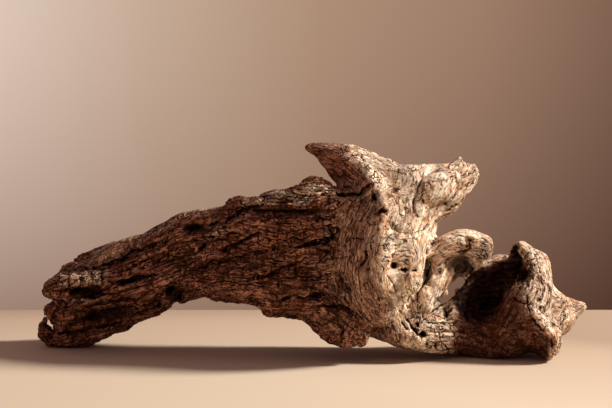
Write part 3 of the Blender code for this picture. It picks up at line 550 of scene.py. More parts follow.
def crackSkin(root):
    # drying blocks, torn layers and long splits over the whole root
    points, normals = readPoints(root), readNormals(root)
    limb, sample = nearestLimb(points)
    s, w, d, turn = limbSpace(points, limb, sample)
    grain = np.column_stack([s, w, d])
    rough = np.array([roughness[name] for name in limbNames])[limb]
    height = np.zeros(len(points))
    warpAlong = noise(points / 9, 51) * 2.2 + noise(points / 3.5, 52) * 0.7
    warpRound = noise(points / 9, 53) * 1.8 + noise(points / 3.5, 54) * 0.6
    strength = smoothStep(-0.6, 0.5, noise(points / 24, 60))
    for number, name in enumerate(limbNames):
        rows = np.flatnonzero(limb == number)
        if not len(rows):
            continue
        half = np.median(axes[number]["half"], axis=0)
        girth = math.pi * (half[0] + half[1])
        ring = max(3, round(girth / rootLooks["blockRound"]))
        edge, toMidAlong, toMidRound, key = crackCells(
            s[rows] + warpAlong[rows], turn[rows] + warpRound[rows] / girth, ring, rootLooks["blockAlong"],
            girth / ring, (0.95, 0.7), 70 + number)
        rise = ((key & 0xFF) / 255 - 0.5) * rootLooks["blockStep"]
        tiltAlong = (((key >> 8) & 0xFF) / 255 - 0.5) * 0.3
        tiltRound = (((key >> 16) & 0xFF) / 255 - 0.5) * 0.3
        line = np.clip(1 - edge / rootLooks["crackWidth"], 0, 1)
        opened = smoothStep(-0.3, 0.5, noise(points[rows] / 7, 61))
        share = rough[rows, 0] * strength[rows]
        height[rows] += share * ((rise + tiltAlong * toMidAlong + tiltRound * toMidRound) * (1 - line)
                                 - rootLooks["crackDepth"] * line * opened)
    layers = noise(grain / (38, 8, 8) + 0.25 * noise(points / 7, 55)[:, None], 56) * 2.6
    step = np.floor(layers) + smoothStep(0.38, 0.62, layers - np.floor(layers)) - layers * 0.6
    height += rootLooks["layerHeight"] * step * rough[:, 1]
    height += rootLooks["grainHeight"] * noise(grain / (30, 3.4, 3.4), 81) * (0.5 + rough[:, 1] / 2)
    split = np.abs(noise(grain / (48, 9, 9) + 0.3 * noise(points / 12, 83)[:, None], 84))
    line = np.clip(1 - split / 0.06, 0, 1) * np.clip(rough[:, 2], 0, 1)
    height -= rootLooks["splitDepth"] * line * smoothStep(-0.2, 0.4, noise(points / 14, 85))
    points += normals * height[:, None]
    points[:, 2] = np.maximum(points[:, 2], 0.02)
    writePoints(root, points)


def storeNumber(obj, name, values):
    attribute = obj.data.attributes.get(name) or obj.data.attributes.new(name, "FLOAT", "POINT")
    attribute.data.foreach_set("value", np.asarray(values, np.float32))


def smoothPlace(obj, points, rounds):
    # neighbour averages of the points, for finding hollows and ridges
    edges = np.empty(len(obj.data.edges) * 2, np.int64)
    obj.data.edges.foreach_get("vertices", edges)
    a, b = edges[::2], edges[1::2]
    count = np.bincount(a, minlength=len(points)) + np.bincount(b, minlength=len(points))
    for _ in range(rounds):
        total = np.column_stack([
            np.bincount(a, weights=points[b, k], minlength=len(points))
            + np.bincount(b, weights=points[a, k], minlength=len(points)) for k in range(3)])
        points = 0.5 * points + 0.5 * total / count[:, None]
    return points


def openHook(root):
    # cuts the slot behind the hook right through along the sight line
    x, z, y, halfX, halfZ, halfY, lean = rootLooks["hookGap"]
    centre, _ = realPlace(x, z, y)
    sight = Vector(centre - photoEye).to_track_quat("Y", "Z")
    deselectAll()
    turn = sight @ Quaternion((0, 1, 0), math.radians(lean))
    bpy.ops.mesh.primitive_uv_sphere_add(segments=24, ring_count=16, radius=1,
                                         location=(centre + photoShift) * mm, rotation=turn.to_euler())
    cutter = bpy.context.active_object
    cutter.scale = (halfX * mm, halfY * mm, halfZ * mm)
    activate(cutter)
    bpy.ops.object.transform_apply(location=True, rotation=True, scale=True)
    applyModifier(root, "BOOLEAN", {"operation": "DIFFERENCE", "object": cutter, "solver": "EXACT"})
    bpy.data.objects.remove(cutter)


def addLumps(root):
    # small forms that stand on the limbs, joined before the skin is remeshed
    lumps = []
    for x, z, y, halfX, halfZ, halfY, lean, yaw in rootLooks["lumps"]:
        centre, share = realPlace(x, z, y)
        deselectAll()
        bpy.ops.mesh.primitive_uv_sphere_add(
            segments=20, ring_count=12, radius=1, location=(centre + photoShift) * mm,
            rotation=(0, math.radians(-lean), math.radians(yaw)))
        lump = bpy.context.active_object
        lump.scale = (halfX * share * mm, halfY * mm, halfZ * share * mm)
        activate(lump)
        bpy.ops.object.transform_apply(location=True, rotation=True, scale=True)
        lumps.append(lump)
    deselectAll()
    for piece in (*lumps, root):
        piece.select_set(True)
    bpy.context.view_layer.objects.active = root
    bpy.ops.object.join()


def makeRoot():
    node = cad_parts["dry_root"]
    activate(node)
    bpy.ops.object.duplicate()
    root = bpy.context.active_object
    root.name = "weatheredRoot"
    root.data.name = "weatheredRoot"
    bpy.ops.object.mode_set(mode="EDIT")
    bpy.ops.mesh.select_all(action="SELECT")
    bpy.ops.mesh.remove_doubles(threshold=0.00001)
    bpy.ops.object.mode_set(mode="OBJECT")
    applyModifier(root, "SUBSURF", {"levels": 2, "render_levels": 2})
    addLumps(root)
    applyModifier(root, "REMESH", {"mode": "VOXEL", "voxel_size": rootLooks["voxel"] * mm})
    applyModifier(root, "SMOOTH", {"factor": 0.5, "iterations": 3})
    openHook(root)
    print("skin", len(root.data.vertices), round(time.time() - startTime, 1))
    carveSkin(root)
    applyModifier(root, "REMESH", {"mode": "VOXEL", "voxel_size": rootLooks["voxel"] * mm})
    applyModifier(root, "SMOOTH", {"factor": 0.3, "iterations": 1})
    print("carved", len(root.data.vertices), round(time.time() - startTime, 1))
    crackSkin(root)
    print("cracked", round(time.time() - startTime, 1))
    points, normals = readPoints(root), readNormals(root)
    for name, rounds in (("fineHollow", 6), ("wideHollow", 40)):
        average = smoothPlace(root, points, rounds)
        storeNumber(root, name, ((average - points) * normals).sum(axis=1))
    # the side towards the camera keeps the finer mesh, in five steps
    towards = photoEye - points
    facing = (normals * towards).sum(axis=1) / np.linalg.norm(towards, axis=1)
    thin = root.vertex_groups.new(name="thin")
    for share in range(1, 6):
        rows = np.flatnonzero(np.round(1 + smoothStep(0.25, -0.25, facing) * 4) == share)
        thin.add(rows.tolist(), share / 5, "REPLACE")
    triangles = sum(len(p.vertices) - 2 for p in root.data.polygons)
    applyModifier(root, "DECIMATE", {
        "ratio": rootLooks["faces"] / triangles, "use_collapse_triangulate": True,
        "vertex_group": "thin", "vertex_group_factor": 6.0})
    root.vertex_groups.clear()
    print("thinned", len(root.data.polygons), round(time.time() - startTime, 1))
    return root


# patches of painted light and shade seen from the front, pale where the key light falls and dark in hollows
# and shade: x, z, half-width, half-height, amount (pale +, dark -)
paintedLightAndShade = [
    (-192, 61, 20, 6, 0.85), (-176, 64, 9, 6, 0.7), (-196, 66.5, 16, 2.8, 0.7), (-25, 133, 22, 4, 0.95),
    (-38, 126.5, 14, 3, 0.9), (-8, 127, 12, 4, 0.9), (-40, 116.5, 12, 2, 0.5),
    (-53.5, 125.5, 4, 4, 0.7), (108, 65, 9, 13, 0.9), (94, 49, 5, 6, 1.0), (98, 38, 8, 4, 0.8),
    (3, 136, 13, 5, 0.95), (-185, 44, 20, 4, 0.3), (-178, 31, 6, 5, -0.7), (4, 48.5, 7, 3, -0.6),
    (123, 74, 9, 8, -0.55), (14, 162, 20, 8, -0.2), (-112, 49, 8, 6, -0.5), (-96, 105, 7, 3.4, -0.6),
    (-14, 119, 34, 2, -0.5), (-76, 102, 10, 6, 0.45), (-130, 60, 30, 8, 0.15), (112, 142, 24, 13, 1.0),
    (140, 93, 11, 8, 0.6), (70, 150, 26, 8, 0.6), (72, 88, 14, 26, 0.5), (192, 58, 9, 26, 0.1),
    (205, 36, 12, 12, 0.3), (106, 24, 14, 10, 0.3), (84, 128, 14, 14, 0.4), (178, 90, 7, 6, 0.9),
    (66, 60, 8, 20, 0.35), (24, 171.5, 20, 2, 0.4),
]

# painted shade, dark where the key light doesn't reach: the bowl, the knob's hollow side and the slit below
# it, the gap under the block row, the hollow low on the arm's foot, the base below the bowl. Outline,
# amount, soft edge in mm
paintedShades = [
    ([(118, 47), (124, 56), (130, 64), (137, 70), (144, 73), (152, 74), (160, 78), (165, 80), (170, 75),
      (176, 72), (182, 69), (177, 63), (167, 57), (160, 50), (156, 42), (150, 32), (140, 26), (128, 28),
      (120, 36), (118, 47)], -0.85, 1.5),
    ([(164, 88), (167, 90.5), (171, 87), (173, 80), (176, 74), (170, 71), (164, 79), (164, 88)], -0.95,
      1.2),
    ([(168, 60), (172, 66), (180, 72), (183.5, 69.5), (178, 62), (171, 57), (168, 60)], -1.0, 0.8),
    ([(-201, 54), (-190, 56), (-180, 57), (-171, 56.5), (-173, 50), (-185, 47.5), (-196, 50),
      (-201, 54)], -0.95, 1.2),
    ([(-172, 38), (-160, 40), (-148, 38), (-142, 34), (-152, 28), (-166, 27), (-174, 32), (-172, 38)],
      -0.55, 2.5),
    ([(122, -5), (117, 6), (124, 15), (119, 24), (121, 34), (126, 44), (150, 44), (160, 50), (167, 56),
      (172, 48), (176, 38), (179, 29), (187, 21.5), (197.5, 13.5), (197.5, -5), (121, -5)], -0.3, 4.5),
]

# where the trunk's side lit by the key light begins, at the light's terminator: x at heights z; the shaded
# side left of it gets painted shade
litSideFrom = ([0, 20, 45, 60, 79, 98, 120.5, 129, 141.8, 148, 153, 164, 173],
                [78, 74, 62, 55, 53, 51.7, 58, 53, 51.7, 44.3, 40.6, 33, 29.5])
limbApart = 300.0       # mm between the limbs' places in the pattern, so that no two look alike
farFromKnots = 20.0     # what is stored where no knot is near; a knot's middle is 0 and its reach 10


def insideDistance(x, z, outline):
    # distance to a closed outline, positive inside
    gap, _, _ = pathDistance(x, z, outline)
    inside = np.zeros(len(x), bool)
    for (ax, az), (bx, bz) in zip(outline[:-1], outline[1:]):
        crosses = (az > z) != (bz > z)
        inside ^= crosses & (x < ax + (bx - ax) * (z - az) / ((bz - az) or 1))
    return np.where(inside, gap, -gap)


def layGrain(root):
    # at each face corner the grain's directions and the place on the limb's skin, each face whole on one
    # limb, and at each vertex the numbers that the wood's colours follow
    points, facing = readPoints(root), -readNormals(root)[:, 1]
    loops = np.empty(len(root.data.loops), np.int64)
    root.data.loops.foreach_get("vertex_index", loops)
    corners = loops.reshape(-1, 3)
    centres = points[corners].mean(axis=1)
    limb, sample = nearestLimb(centres)
    limb, sample = np.repeat(limb, 3), np.repeat(sample, 3)
    s, w, d, turn = limbSpace(points[loops], limb, sample)
    first = np.repeat(turn[::3], 3)
    turn = turn - np.round(turn - first)
    half = np.concatenate([axis["half"].mean(axis=1) for axis in axes])
    start = np.cumsum([0] + [len(axis["half"]) for axis in axes])
    around = turn * 2 * math.pi * half[start[limb] + sample]
    x, z = frontView(points)
    # places where the grain runs across the trunk
    for atX, atZ, halfX, halfZ in crossGrain:
        size = np.hypot((x[loops] - atX) / halfX, (z[loops] - atZ) / halfZ)
        share = smoothStep(1.2, 0.6, size) * (facing[loops] > 0)
        middle = (size < 0.3) & (share > 0)
        s, w = (own + share * (seen - own + own[middle].mean())
                for own, seen in ((s, x[loops] - atX), (w, z[loops] - atZ)))
    turnX, turnZ, knot = np.zeros(len(points)), np.zeros(len(points)), np.full(len(points), farFromKnots)
    front = smoothStep(0, 0.3, facing)
    for atX, atZ, reach in knots:
        awayX, awayZ = x - atX, z - atZ
        away = np.hypot(awayX, awayZ)
        bend = front * np.exp(-(away / reach) ** 2) * reach * 0.6 / np.maximum(away, 0.5)
        turnX += awayX * bend
        turnZ += awayZ * bend
        knot = np.where(front > 0.5, np.minimum(knot, away * 10 / reach), knot)
    # the grain's own coordinates, bent round the knots, and the skin's, both in metres
    attribute = root.data.attributes.new("grain", "FLOAT_VECTOR", "CORNER")
    values = np.column_stack([s + limb * limbApart, w - turnZ[loops] - turnX[loops] * 0.6, d])
    attribute.data.foreach_set("vector", (values * mm).astype(np.float32).ravel())
    skin = root.data.uv_layers.new(name="skin")
    values = np.column_stack([s + limb * limbApart, around])
    skin.data.foreach_set("uv", (values * mm).astype(np.float32).ravel())
    # painted shade: red-brown, darker wood left of the lit side, darkest far left and high up, and in the
    # bowl and below it
    away = x - np.interp(z, *litSideFrom) + 5 * noise(points / 14, 91) + 3 * noise(points / 5, 93)
    darkestShade = np.maximum(smoothStep(-10, -70, away), smoothStep(132, 148, z))
    paintedShadeRed = smoothStep(7, -9, away) * (0.72 + 0.28 * darkestShade)
    for outline, _, _ in (paintedShades[0], paintedShades[-1]):
        deep = insideDistance(x, z, outline) + 6 * noise(points / 9, 94) + 3.5 * noise(points / 3, 99)
        paintedShadeRed = np.maximum(paintedShadeRed, smoothStep(-7, 5, deep))
    # the loop, base and lobe are a little less bleached than the trunk
    warm = 0.17 * smoothStep(92, 118, x) * smoothStep(106, 94, z) * (1 + 0.6 * noise(points / 9, 100))
    storeNumber(root, "paintedShadeRed", np.maximum(paintedShadeRed, warm))
    # painted light and shade: pale and dark patches, the strongest where they overlap, and the upper band
    # painted pale where the key light catches it and none darkens it
    paintedLightShade = np.zeros(len(points))
    wobble = 1 + 0.35 * noise(points / 6, 92)
    for atX, atZ, halfX, halfZ, amount in paintedLightAndShade:
        size = np.hypot((x - atX) / halfX, (z - atZ) / halfZ) * wobble
        found = front * amount * smoothStep(1.25, 0.7, size)
        paintedLightShade = np.where(np.abs(found) > np.abs(paintedLightShade), found, paintedLightShade)
    vertexLimb, _ = nearestLimb(points)
    band = vertexLimb == limbNames.index("topBand")
    paintedLightShade = np.where(band & (paintedLightShade >= 0), np.maximum(paintedLightShade, 0.42 + 0.2 * noise(points / 5, 96)), paintedLightShade)
    # painted shade inside the dark outlines, where the key light doesn't reach
    for outline, amount, soft in paintedShades:
        rows = boxAround(x, z, outline, 9)
        ragged = noise(points[rows] / 7, 98) + noise(points[rows] / 3, 95)
        deep = insideDistance(x[rows], z[rows], outline) + soft * ragged
        streaks = 1 + 0.5 * noise(points[rows] / (6, 6, 2.2), 97)
        found = np.clip(front[rows] * amount * streaks * smoothStep(-soft, soft, deep), -1, 0)
        paintedLightShade[rows] = np.where(np.abs(found) > np.abs(paintedLightShade[rows]), found, paintedLightShade[rows])
    storeNumber(root, "paintedLightShade", paintedLightShade)
    storeNumber(root, "knot", knot)
    # how strong the drying blocks and the hatching are, the second also low on the base
    rough = np.array([roughness[name][0] for name in limbNames])[vertexLimb]
    hatch = np.maximum(band, 0.7 * smoothStep(110, 125, x) * smoothStep(14, 8, z))
    spread = smoothPlace(root, np.column_stack([rough, hatch, hatch]), 6)
    storeNumber(root, "checks", spread[:, 0])
    storeNumber(root, "hatch", spread[:, 1])
    signed, width = lineFields(x, z)
    storeNumber(root, "line", signed)
    storeNumber(root, "lineWidth", width * smoothStep(-0.1, 0.2, facing))


# weathered root wood

woodLooks = {
    "pale": "#fbe8ce", "paleDeep": "#b3875c",           # the lit side's wood, painted pale where the key light falls, and its darker fibres
    "paintedHighlight": "#fdefd9", "paintedHighlightDeep": "#cba074",   # painted highlights, the palest patches where the key light falls
    "red": "#bb8369", "redDeep": "#462320",             # the shaded side's wood, red-brown and darker as painted shade, and its darker fibres
    "stain": "#cba078", "worn": "#f6e6d0",              # water stains, rubbed edges
    "rust": "#8f5731",                                  # brown edges of the cracks
    "umberShade": "#3d2018", "creviceAndShade": "#120705",           # painted shade in hollows; the depth of cracks, and painted shade where hollows are deep
    # mm along and round the limb; real blocks and hatching, the fine net drawn coarse enough to show
    "blocks": (9.5, 6.6), "hatching": (2.8, 8.0), "cells": (6.0, 5.0), "fine": (2.4, 2.0),
    "fibre": 1.6, "splitGap": 5.9, "hairGap": 3.0,      # mm between fibres, long splits and hair cracks
    "fibreHeight": 0.45, "blockHeight": 0.5, "grit": 0.5, "crackHeight": 1.1,   # mm, small relief
}


def makeWood():
    # sun-dried root wood without bark: fibres run along each limb, drying cracks cut it into blocks
    material = bpy.data.materials.new("sunDriedRootWood")
    material.use_nodes = True
    tree = material.node_tree
    shader = tree.nodes["Principled BSDF"]
    shader.inputs["Roughness"].default_value = 0.85          # dry and matt, no sheen left
    shader.inputs["IOR"].default_value = 1.45
    shader.inputs["Specular IOR Level"].default_value = 0.06
    place = addNode(tree, "TexCoord", {})
    grain = addNode(tree, "Attribute", {"attribute_name": "grain"})
    skin = addNode(tree, "UVMap", {"uv_map": "skin"})
    number, cloud = {}, {}
    for name in ("fineHollow", "wideHollow", "paintedShadeRed", "paintedLightShade", "knot", "checks", "hatch", "line",
                 "lineWidth"):
        number[name] = (addNode(tree, "Attribute", {"attribute_name": name}), "Fac")
    # clouds: noise with features of a size in mm, and how much finer noise lies on it
    for size, detail in ((3.2, 4), (4, 2), (4.5, 2), (6, 2), (7, 2), (8, 2), (9, 2), (12, 2), (13, 5),
                         (17, 2), (22, 2), (28, 1)):
        cloud[size] = (addNode(tree, "TexNoise", {
            "Vector": (place, "Object"), "Scale": 1000 / size, "Detail": detail, "Roughness": 0.6}), "Fac")

    # everything that follows the grain wavers, slowly and quickly
    skinAt, grainAt = (skin, "UV"), (grain, "Vector")
    for size, skinWaver, grainWaver in ((17, 13, 6), (4.5, 4.5, 1.2)):
        waver = addNode(tree, "VectorMath", {
            "operation": "SUBTRACT", 0: (cloud[size][0], "Color"), 1: (0.5, 0.5, 0.5)})
        skinAt = addNode(tree, "VectorMath", {
            "operation": "MULTIPLY_ADD", 0: waver, 1: (skinWaver * mm,) * 3, 2: skinAt})
        grainAt = addNode(tree, "VectorMath", {
            "operation": "MULTIPLY_ADD", 0: waver, 1: (grainWaver * mm,) * 3, 2: grainAt})

    # noises stretched along the grain: fibres, long splits and hair cracks
    stretched = {}
    for name, along, across, detail, rough in (("fibre", 22, woodLooks["fibre"], 4, 0.65),
                                               ("split", 36, woodLooks["splitGap"], 3, 0.55),
                                               ("hair", 33, woodLooks["hairGap"], 2, 0.5)):
        at = addNode(tree, "VectorMath", {
            "operation": "MULTIPLY", 0: grainAt, 1: (1000 / along, 1000 / across, 1000 / across)})
        stretched[name] = (addNode(tree, "TexNoise", {
            "Vector": at, "Scale": 1.0, "Detail": detail, "Roughness": rough}), "Fac")

    # how open the cracks are: narrower in the pale lit wood and under the painted highlights, wider in the
    # red painted-shade wood, where the blocks are strong, and in patches
    openness = addNode(tree, "MapRange", {0: number["paintedShadeRed"], 1: 0.2, 2: 0.9, 3: 0.5, 4: 0.95})
    for source, low, high, toLow, toHigh in (
            (number["paintedLightShade"], 0.0, 0.6, 1.0, 0.7), (number["checks"], 0.45, 0.75, 0.85, 1.35),
            (cloud[22], 0.4, 0.6, 0.45, 1.25)):
        share = addNode(tree, "MapRange", {0: source, 1: low, 2: high, 3: toLow, 4: toHigh})
        openness = addNode(tree, "Math", {"operation": "MULTIPLY", 0: openness, 1: share})

    # drying blocks: rows along the grain cut across, and fine hatching on the upper band
    cracks, bricks = [], []
    for name, offset, size, widest, strength in (("blocks", 0.43, 9, 0.26, number["checks"]),
                                                 ("hatching", 0.3, 6, 0.3, number["hatch"])):
        along, across = woodLooks[name]
        least = min(along, across)
        width = addNode(tree, "MapRange", {0: cloud[size], 1: 0.4, 2: 0.66, 3: 0.0, 4: widest})
        for factor in (strength, openness):
            width = addNode(tree, "Math", {"operation": "MULTIPLY", 0: width, 1: factor})
        at = addNode(tree, "VectorMath", {"operation": "MULTIPLY", 0: skinAt, 1: (1000 / least,) * 3})
        bricks.append(addNode(tree, "TexBrick", {
            "offset": offset, "squash": 0.7, "squash_frequency": 3, "Vector": at, "Scale": 1.0,
            "Brick Width": along / least, "Row Height": across / least, "Mortar Size": width,
            "Mortar Smooth": 0.7, "Color1": (0, 0, 0, 1), "Color2": (1, 1, 1, 1),
            "Mortar": (0.5, 0.5, 0.5, 1)}))
        cracks.append((bricks[-1], "Fac"))

    # splits and hair cracks, where their noise crosses its middle value
    for name, size, low, high, narrow, wide, most in (("split", 12, 0.42, 0.65, 0.002, 0.045, 1.0),
                                                      ("hair", 8, 0.5, 0.66, 0.0, 0.028, 0.7)):
        opened = addNode(tree, "MapRange", {0: cloud[size], 1: low, 2: high, 3: narrow, 4: wide})
        away = addNode(tree, "Math", {"operation": "SUBTRACT", 0: stretched[name], 1: 0.5})
        away = addNode(tree, "Math", {"operation": "ABSOLUTE", 0: away})
        cracks.append(addNode(tree, "MapRange", {
            "interpolation_type": "SMOOTHSTEP", 0: away, 1: 0.0, 2: opened, 3: most, 4: 0.0}))

    # rounder cells and a finer net between them
    for name, size, widest, most in (("cells", 7, 0.13, 0.95), ("fine", 4, 0.1, 0.65)):
        along, across = (1000 / gap for gap in woodLooks[name])
        at = addNode(tree, "VectorMath", {"operation": "MULTIPLY", 0: skinAt, 1: (along, across, 0)})
        edge = addNode(tree, "TexVoronoi", {
            "voronoi_dimensions": "2D", "feature": "DISTANCE_TO_EDGE", "Vector": at, "Scale": 1.0,
            "Randomness": 0.9})
        opened = addNode(tree, "MapRange", {0: cloud[size], 1: 0.46, 2: 0.7, 3: 0.0, 4: widest})
        opened = addNode(tree, "Math", {"operation": "MULTIPLY_ADD", 0: opened, 1: openness, 2: 0.002})
        cracks.append(addNode(tree, "MapRange", {
            "interpolation_type": "SMOOTHSTEP", 0: (edge, "Distance"), 1: 0.0, 2: opened, 3: most, 4: 0.0}))
    cell = addNode(tree, "TexVoronoi", {
        "voronoi_dimensions": "2D", "feature": "F1", "Vector": at, "Scale": 1.0, "Randomness": 0.9})

    # the carved fissures, drawn sharp
    away = addNode(tree, "Math", {"operation": "ABSOLUTE", 0: number["line"]})
    width = addNode(tree, "Math", {"operation": "MAXIMUM", 0: number["lineWidth"], 1: 0.01})
    away = addNode(tree, "Math", {"operation": "DIVIDE", 0: away, 1: width})
    crack = addNode(tree, "MapRange", {
        "interpolation_type": "SMOOTHSTEP", 0: away, 1: 0.5, 2: 1.3, 3: 1.0, 4: 0.0})
    for other in cracks:
        crack = addNode(tree, "Math", {"operation": "MAXIMUM", 0: crack, 1: other})

    # pale wood on the lit side or red-brown painted shade on the shaded side, streaked by its fibres; then
    # the painted highlight colour where the painted patches are pale
    streak = addNode(tree, "MapRange", {0: stretched["fibre"], 1: 0.43, 2: 0.64})
    streaked = {}
    for name in ("pale", "red", "paintedHighlight"):
        streaked[name] = (addNode(tree, "Mix", {
            "data_type": "RGBA", 0: streak, 6: hexColor(woodLooks[name]),
            7: hexColor(woodLooks[name + "Deep"])}), 2)
    wood = (addNode(tree, "Mix", {
        "data_type": "RGBA", 0: number["paintedShadeRed"], 6: streaked["pale"], 7: streaked["red"]}), 2)
    share = addNode(tree, "MapRange", {0: number["paintedLightShade"], 1: 0.1, 2: 1.0, 3: 0.0, 4: 0.85})
    wood = (addNode(tree, "Mix", {"data_type": "RGBA", 0: share, 6: wood, 7: streaked["paintedHighlight"]}), 2)

    # lighter and darker stretches, each block and cell of its own tone, mottled
    shade = addNode(tree, "MapRange", {0: cloud[28], 1: 0.36, 2: 0.64, 3: 0.8, 4: 1.22})
    tones = []
    for source, low, high, toLow, toHigh in (
            ((bricks[0], "Color"), 0, 1, 0.8, 1.15), ((cell, "Color"), 0, 1, 0.88, 1.1),
            (cloud[3.2], 0.32, 0.68, 0.66, 1.3)):
        if source[1] == "Color":
            source = addNode(tree, "SeparateColor", {0: source})
        tones.append(source)
        share = addNode(tree, "MapRange", {0: source, 1: low, 2: high, 3: toLow, 4: toHigh})
        shade = addNode(tree, "Math", {"operation": "MULTIPLY", 0: shade, 1: share})
    wood = addNode(tree, "VectorMath", {"operation": "SCALE", 0: wood, "Scale": shade})

    # laid over the wood: water stains in patches, ridges rubbed pale, then cracks, rust-brown at the edge
    # and nearly black in their depth, and painted shade in hollows and dark patches, umber further in and
    # nearly black where deep
    darkness = addNode(tree, "MapRange", {0: number["paintedShadeRed"], 1: 0.3, 2: 1.0, 3: 0.95, 4: 0.8})
    darkness = addNode(tree, "Math", {"operation": "MULTIPLY", 0: crack, 1: darkness})
    rim = addNode(tree, "Math", {"operation": "POWER", 0: crack, 1: 0.5})
    rim = addNode(tree, "Math", {"operation": "MULTIPLY", 0: rim, 1: 0.8})
    fine, wide, paintedLightShade = number["fineHollow"], number["wideHollow"], number["paintedLightShade"]
    for color, kind, share, sources in (
            ("stain", "MULTIPLY", 0.0, ((cloud[13], 0.47, 0.64, 0.0, 0.65),)),
            ("worn", "SOFT_LIGHT", 0.0, ((fine, -0.05, -0.35, 0.0, 0.45),)),
            ("rust", "MIX", rim, ()),
            ("umberShade", "MIX", 0.0, ((paintedLightShade, -0.05, -0.4, 0.0, 0.6), (wide, 0.2, 1.2, 0.0, 0.85),
                                   (fine, 0.03, 0.25, 0.0, 0.85))),
            ("creviceAndShade", "MIX", darkness, ((number["knot"], 1.2, 3.2, 0.7, 0.0), (fine, 0.08, 0.6, 0.0, 0.9),
                                          (wide, 0.4, 2.2, 0.0, 0.92), (paintedLightShade, -0.15, -0.95, 0.0, 0.97)))):
        for source, low, high, toLow, toHigh in sources:
            found = addNode(tree, "MapRange", {0: source, 1: low, 2: high, 3: toLow, 4: toHigh})
            share = addNode(tree, "Math", {"operation": "MAXIMUM", 0: share, 1: found})
        wood = (addNode(tree, "Mix", {
            "data_type": "RGBA", "blend_type": kind, 0: share, 6: wood, 7: hexColor(woodLooks[color])}), 2)
    tree.links.new(wood[0].outputs[wood[1]], shader.inputs["Base Color"])

    # small relief in mm: fibres, blocks and grit up, cracks down
    relief = 0.0
    for source, height in ((stretched["fibre"], woodLooks["fibreHeight"]),
                           (tones[0], woodLooks["blockHeight"]), (cloud[3.2], woodLooks["grit"]),
                           (crack, -woodLooks["crackHeight"])):
        relief = addNode(tree, "Math", {"operation": "MULTIPLY_ADD", 0: source, 1: height, 2: relief})
    bump = addNode(tree, "Bump", {"Strength": 1.0, "Distance": mm, "Height": relief})
    tree.links.new(bump.outputs[0], shader.inputs["Normal"])
    return material


root = makeRoot()
layGrain(root)
root.data.materials.clear()
root.data.materials.append(makeWood())
activate(root)
bpy.ops.object.shade_smooth()
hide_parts("dry_root")
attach(root, "root")
print("root done", round(time.time() - startTime, 1))


# table, backdrop, light and camera

stageLooks = {
    # matt card with the key light's falloff painted in: from its plain front to the darker back edge of the
    # table, and where these are, m
    "cardPaintedFalloff": [(0.0, "#d8c7ae"), (0.8, "#c0aa93"), (1.0, "#ab957f")], "cardFront": -0.11, "tableBack": 0.24,
    # the backdrop's painted shading from left to right, at the top of the picture and behind the table's
    # edge, and the place of these on a dome of that radius, m
    "top": [(0.0, "#dec7b7"), (0.26, "#c4a994"), (0.52, "#ae8e77"), (0.78, "#9d7d68"), (1.0, "#806150")],
    "low": [(0.0, "#9b8071"), (0.45, "#93735f"), (0.78, "#6e4f41"), (1.0, "#50352a")],
    "wallSide": 1.33, "wallTop": 0.48, "wallLow": -0.87, "domeRadius": 6,
    # key light: W, colour, degrees above the table and behind the root, m across, away and up to its aim
    "keyPower": 151, "keyColor": (1.0, 0.94, 0.88), "keyRise": 34, "keyBehind": 6, "keySize": 0.6,
    "keyAway": 2.9, "keyAim": 0.06,
    "fill": (1.0, 0.67, 0.66), "fillPower": 0.28,
    "lens": 100, "sensor": 36, "cameraTilt": 85,       # mm, mm, degrees up from straight down
}


def fillRamp(ramp, stops):
    steps = ramp.color_ramp.elements
    steps[0].color = hexColor(stops[0][1])
    steps[1].color = hexColor(stops[-1][1])
    for at, text in stops[1:-1]:
        steps.new(at).color = hexColor(text)


def makeTable():
    deselectAll()
    across, deep, thick = 8, 3, 0.04
    back = stageLooks["tableBack"]
    bpy.ops.mesh.primitive_cube_add(size=1, location=(0, back - deep / 2, -thick / 2))
    table = bpy.context.active_object
    table.name = "tableTop"
    bpy.ops.transform.resize(value=(across, deep, thick))
    bpy.ops.object.transform_apply(location=True, rotation=True, scale=True)
    # matt paper card with the key light's falloff painted in: a little darker towards the back and to the
    # right
    material = bpy.data.materials.new("mattCardPaintedFalloff")
    material.use_nodes = True
    tree = material.node_tree
    shader = tree.nodes["Principled BSDF"]
    shader.inputs["Roughness"].default_value = 0.9
    shader.inputs["Specular IOR Level"].default_value = 0.1
    place = addNode(tree, "TexCoord", {})
    parts = addNode(tree, "SeparateXYZ", {0: (place, "Object")})
    right = addNode(tree, "Math", {"operation": "MAXIMUM", 0: (parts, "X"), 1: 0.0})
    away = addNode(tree, "Math", {"operation": "MULTIPLY_ADD", 0: right, 1: 0.7, 2: (parts, "Y")})
    share = addNode(tree, "MapRange", {0: away, 1: stageLooks["cardFront"], 2: back})
    ramp = addNode(tree, "ValToRGB", {0: share})
    fillRamp(ramp, stageLooks["cardPaintedFalloff"])
    tree.links.new(ramp.outputs[0], shader.inputs["Base Color"])
    table.data.materials.append(material)


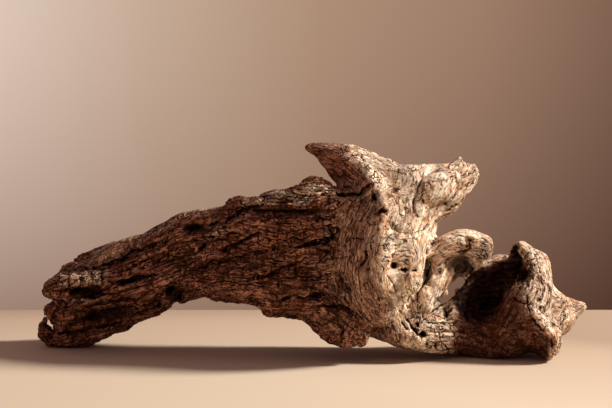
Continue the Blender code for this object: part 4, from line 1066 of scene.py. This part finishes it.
def makeBackdrop():
    # a far dome that glows with the studio wall's painted shading and lights nothing
    deselectAll()
    bpy.ops.mesh.primitive_uv_sphere_add(segments=64, ring_count=32, radius=stageLooks["domeRadius"])
    dome = bpy.context.active_object
    dome.name = "backdropDome"
    material = bpy.data.materials.new("shadedWall")
    material.use_nodes = True
    tree = material.node_tree
    tree.nodes.clear()
    place = addNode(tree, "TexCoord", {})
    parts = addNode(tree, "SeparateXYZ", {0: (place, "Object")})
    side = stageLooks["wallSide"]
    across = addNode(tree, "MapRange", {0: (parts, "X"), 1: -side, 2: side})
    down = addNode(tree, "MapRange", {0: (parts, "Z"), 1: stageLooks["wallTop"], 2: stageLooks["wallLow"]})
    down = addNode(tree, "Math", {"operation": "POWER", 0: down, 1: 1.4})
    ramps = []
    for name in ("top", "low"):
        ramp = addNode(tree, "ValToRGB", {0: across})
        fillRamp(ramp, stageLooks[name])
        ramps.append(ramp)
    color = addNode(tree, "Mix", {"data_type": "RGBA", 0: down, 6: ramps[0], 7: ramps[1]})
    glow = addNode(tree, "Emission", {0: (color, 2)})
    addNode(tree, "OutputMaterial", {0: glow})
    dome.data.materials.append(material)
    dome.visible_diffuse = False
    dome.visible_glossy = False
    dome.visible_shadow = False


def makeLights():
    world = bpy.data.worlds.new("studioFill")
    bpy.context.scene.world = world
    world.use_nodes = True
    fill = world.node_tree.nodes["Background"]
    fill.inputs[0].default_value = (*stageLooks["fill"], 1)
    fill.inputs[1].default_value = stageLooks["fillPower"]
    data = bpy.data.lights.new("keyLight", "AREA")
    data.shape = "DISK"
    data.size = stageLooks["keySize"]
    data.energy = stageLooks["keyPower"]
    data.color = stageLooks["keyColor"]
    light = bpy.data.objects.new("keyLight", data)
    bpy.context.scene.collection.objects.link(light)
    rise, behind = math.radians(stageLooks["keyRise"]), math.radians(stageLooks["keyBehind"])
    away = Vector((math.cos(rise) * math.cos(behind), math.cos(rise) * math.sin(behind), math.sin(rise)))
    light.location = Vector((0, 0, stageLooks["keyAim"])) + away * stageLooks["keyAway"]
    light.rotation_euler = away.to_track_quat("Z", "Y").to_euler()


def makeCamera():
    data = bpy.data.cameras.new("photoCamera")
    data.lens = stageLooks["lens"]
    data.sensor_width = stageLooks["sensor"]
    camera = bpy.data.objects.new("photoCamera", data)
    bpy.context.scene.collection.objects.link(camera)
    camera.location = (photoEye + photoShift) * mm
    camera.rotation_euler = (math.radians(stageLooks["cameraTilt"]), 0, 0)
    bpy.context.scene.camera = camera


makeTable()
makeBackdrop()
makeLights()
makeCamera()
bpy.context.scene.view_settings.view_transform = "Standard"
print("stage done", round(time.time() - startTime, 1))
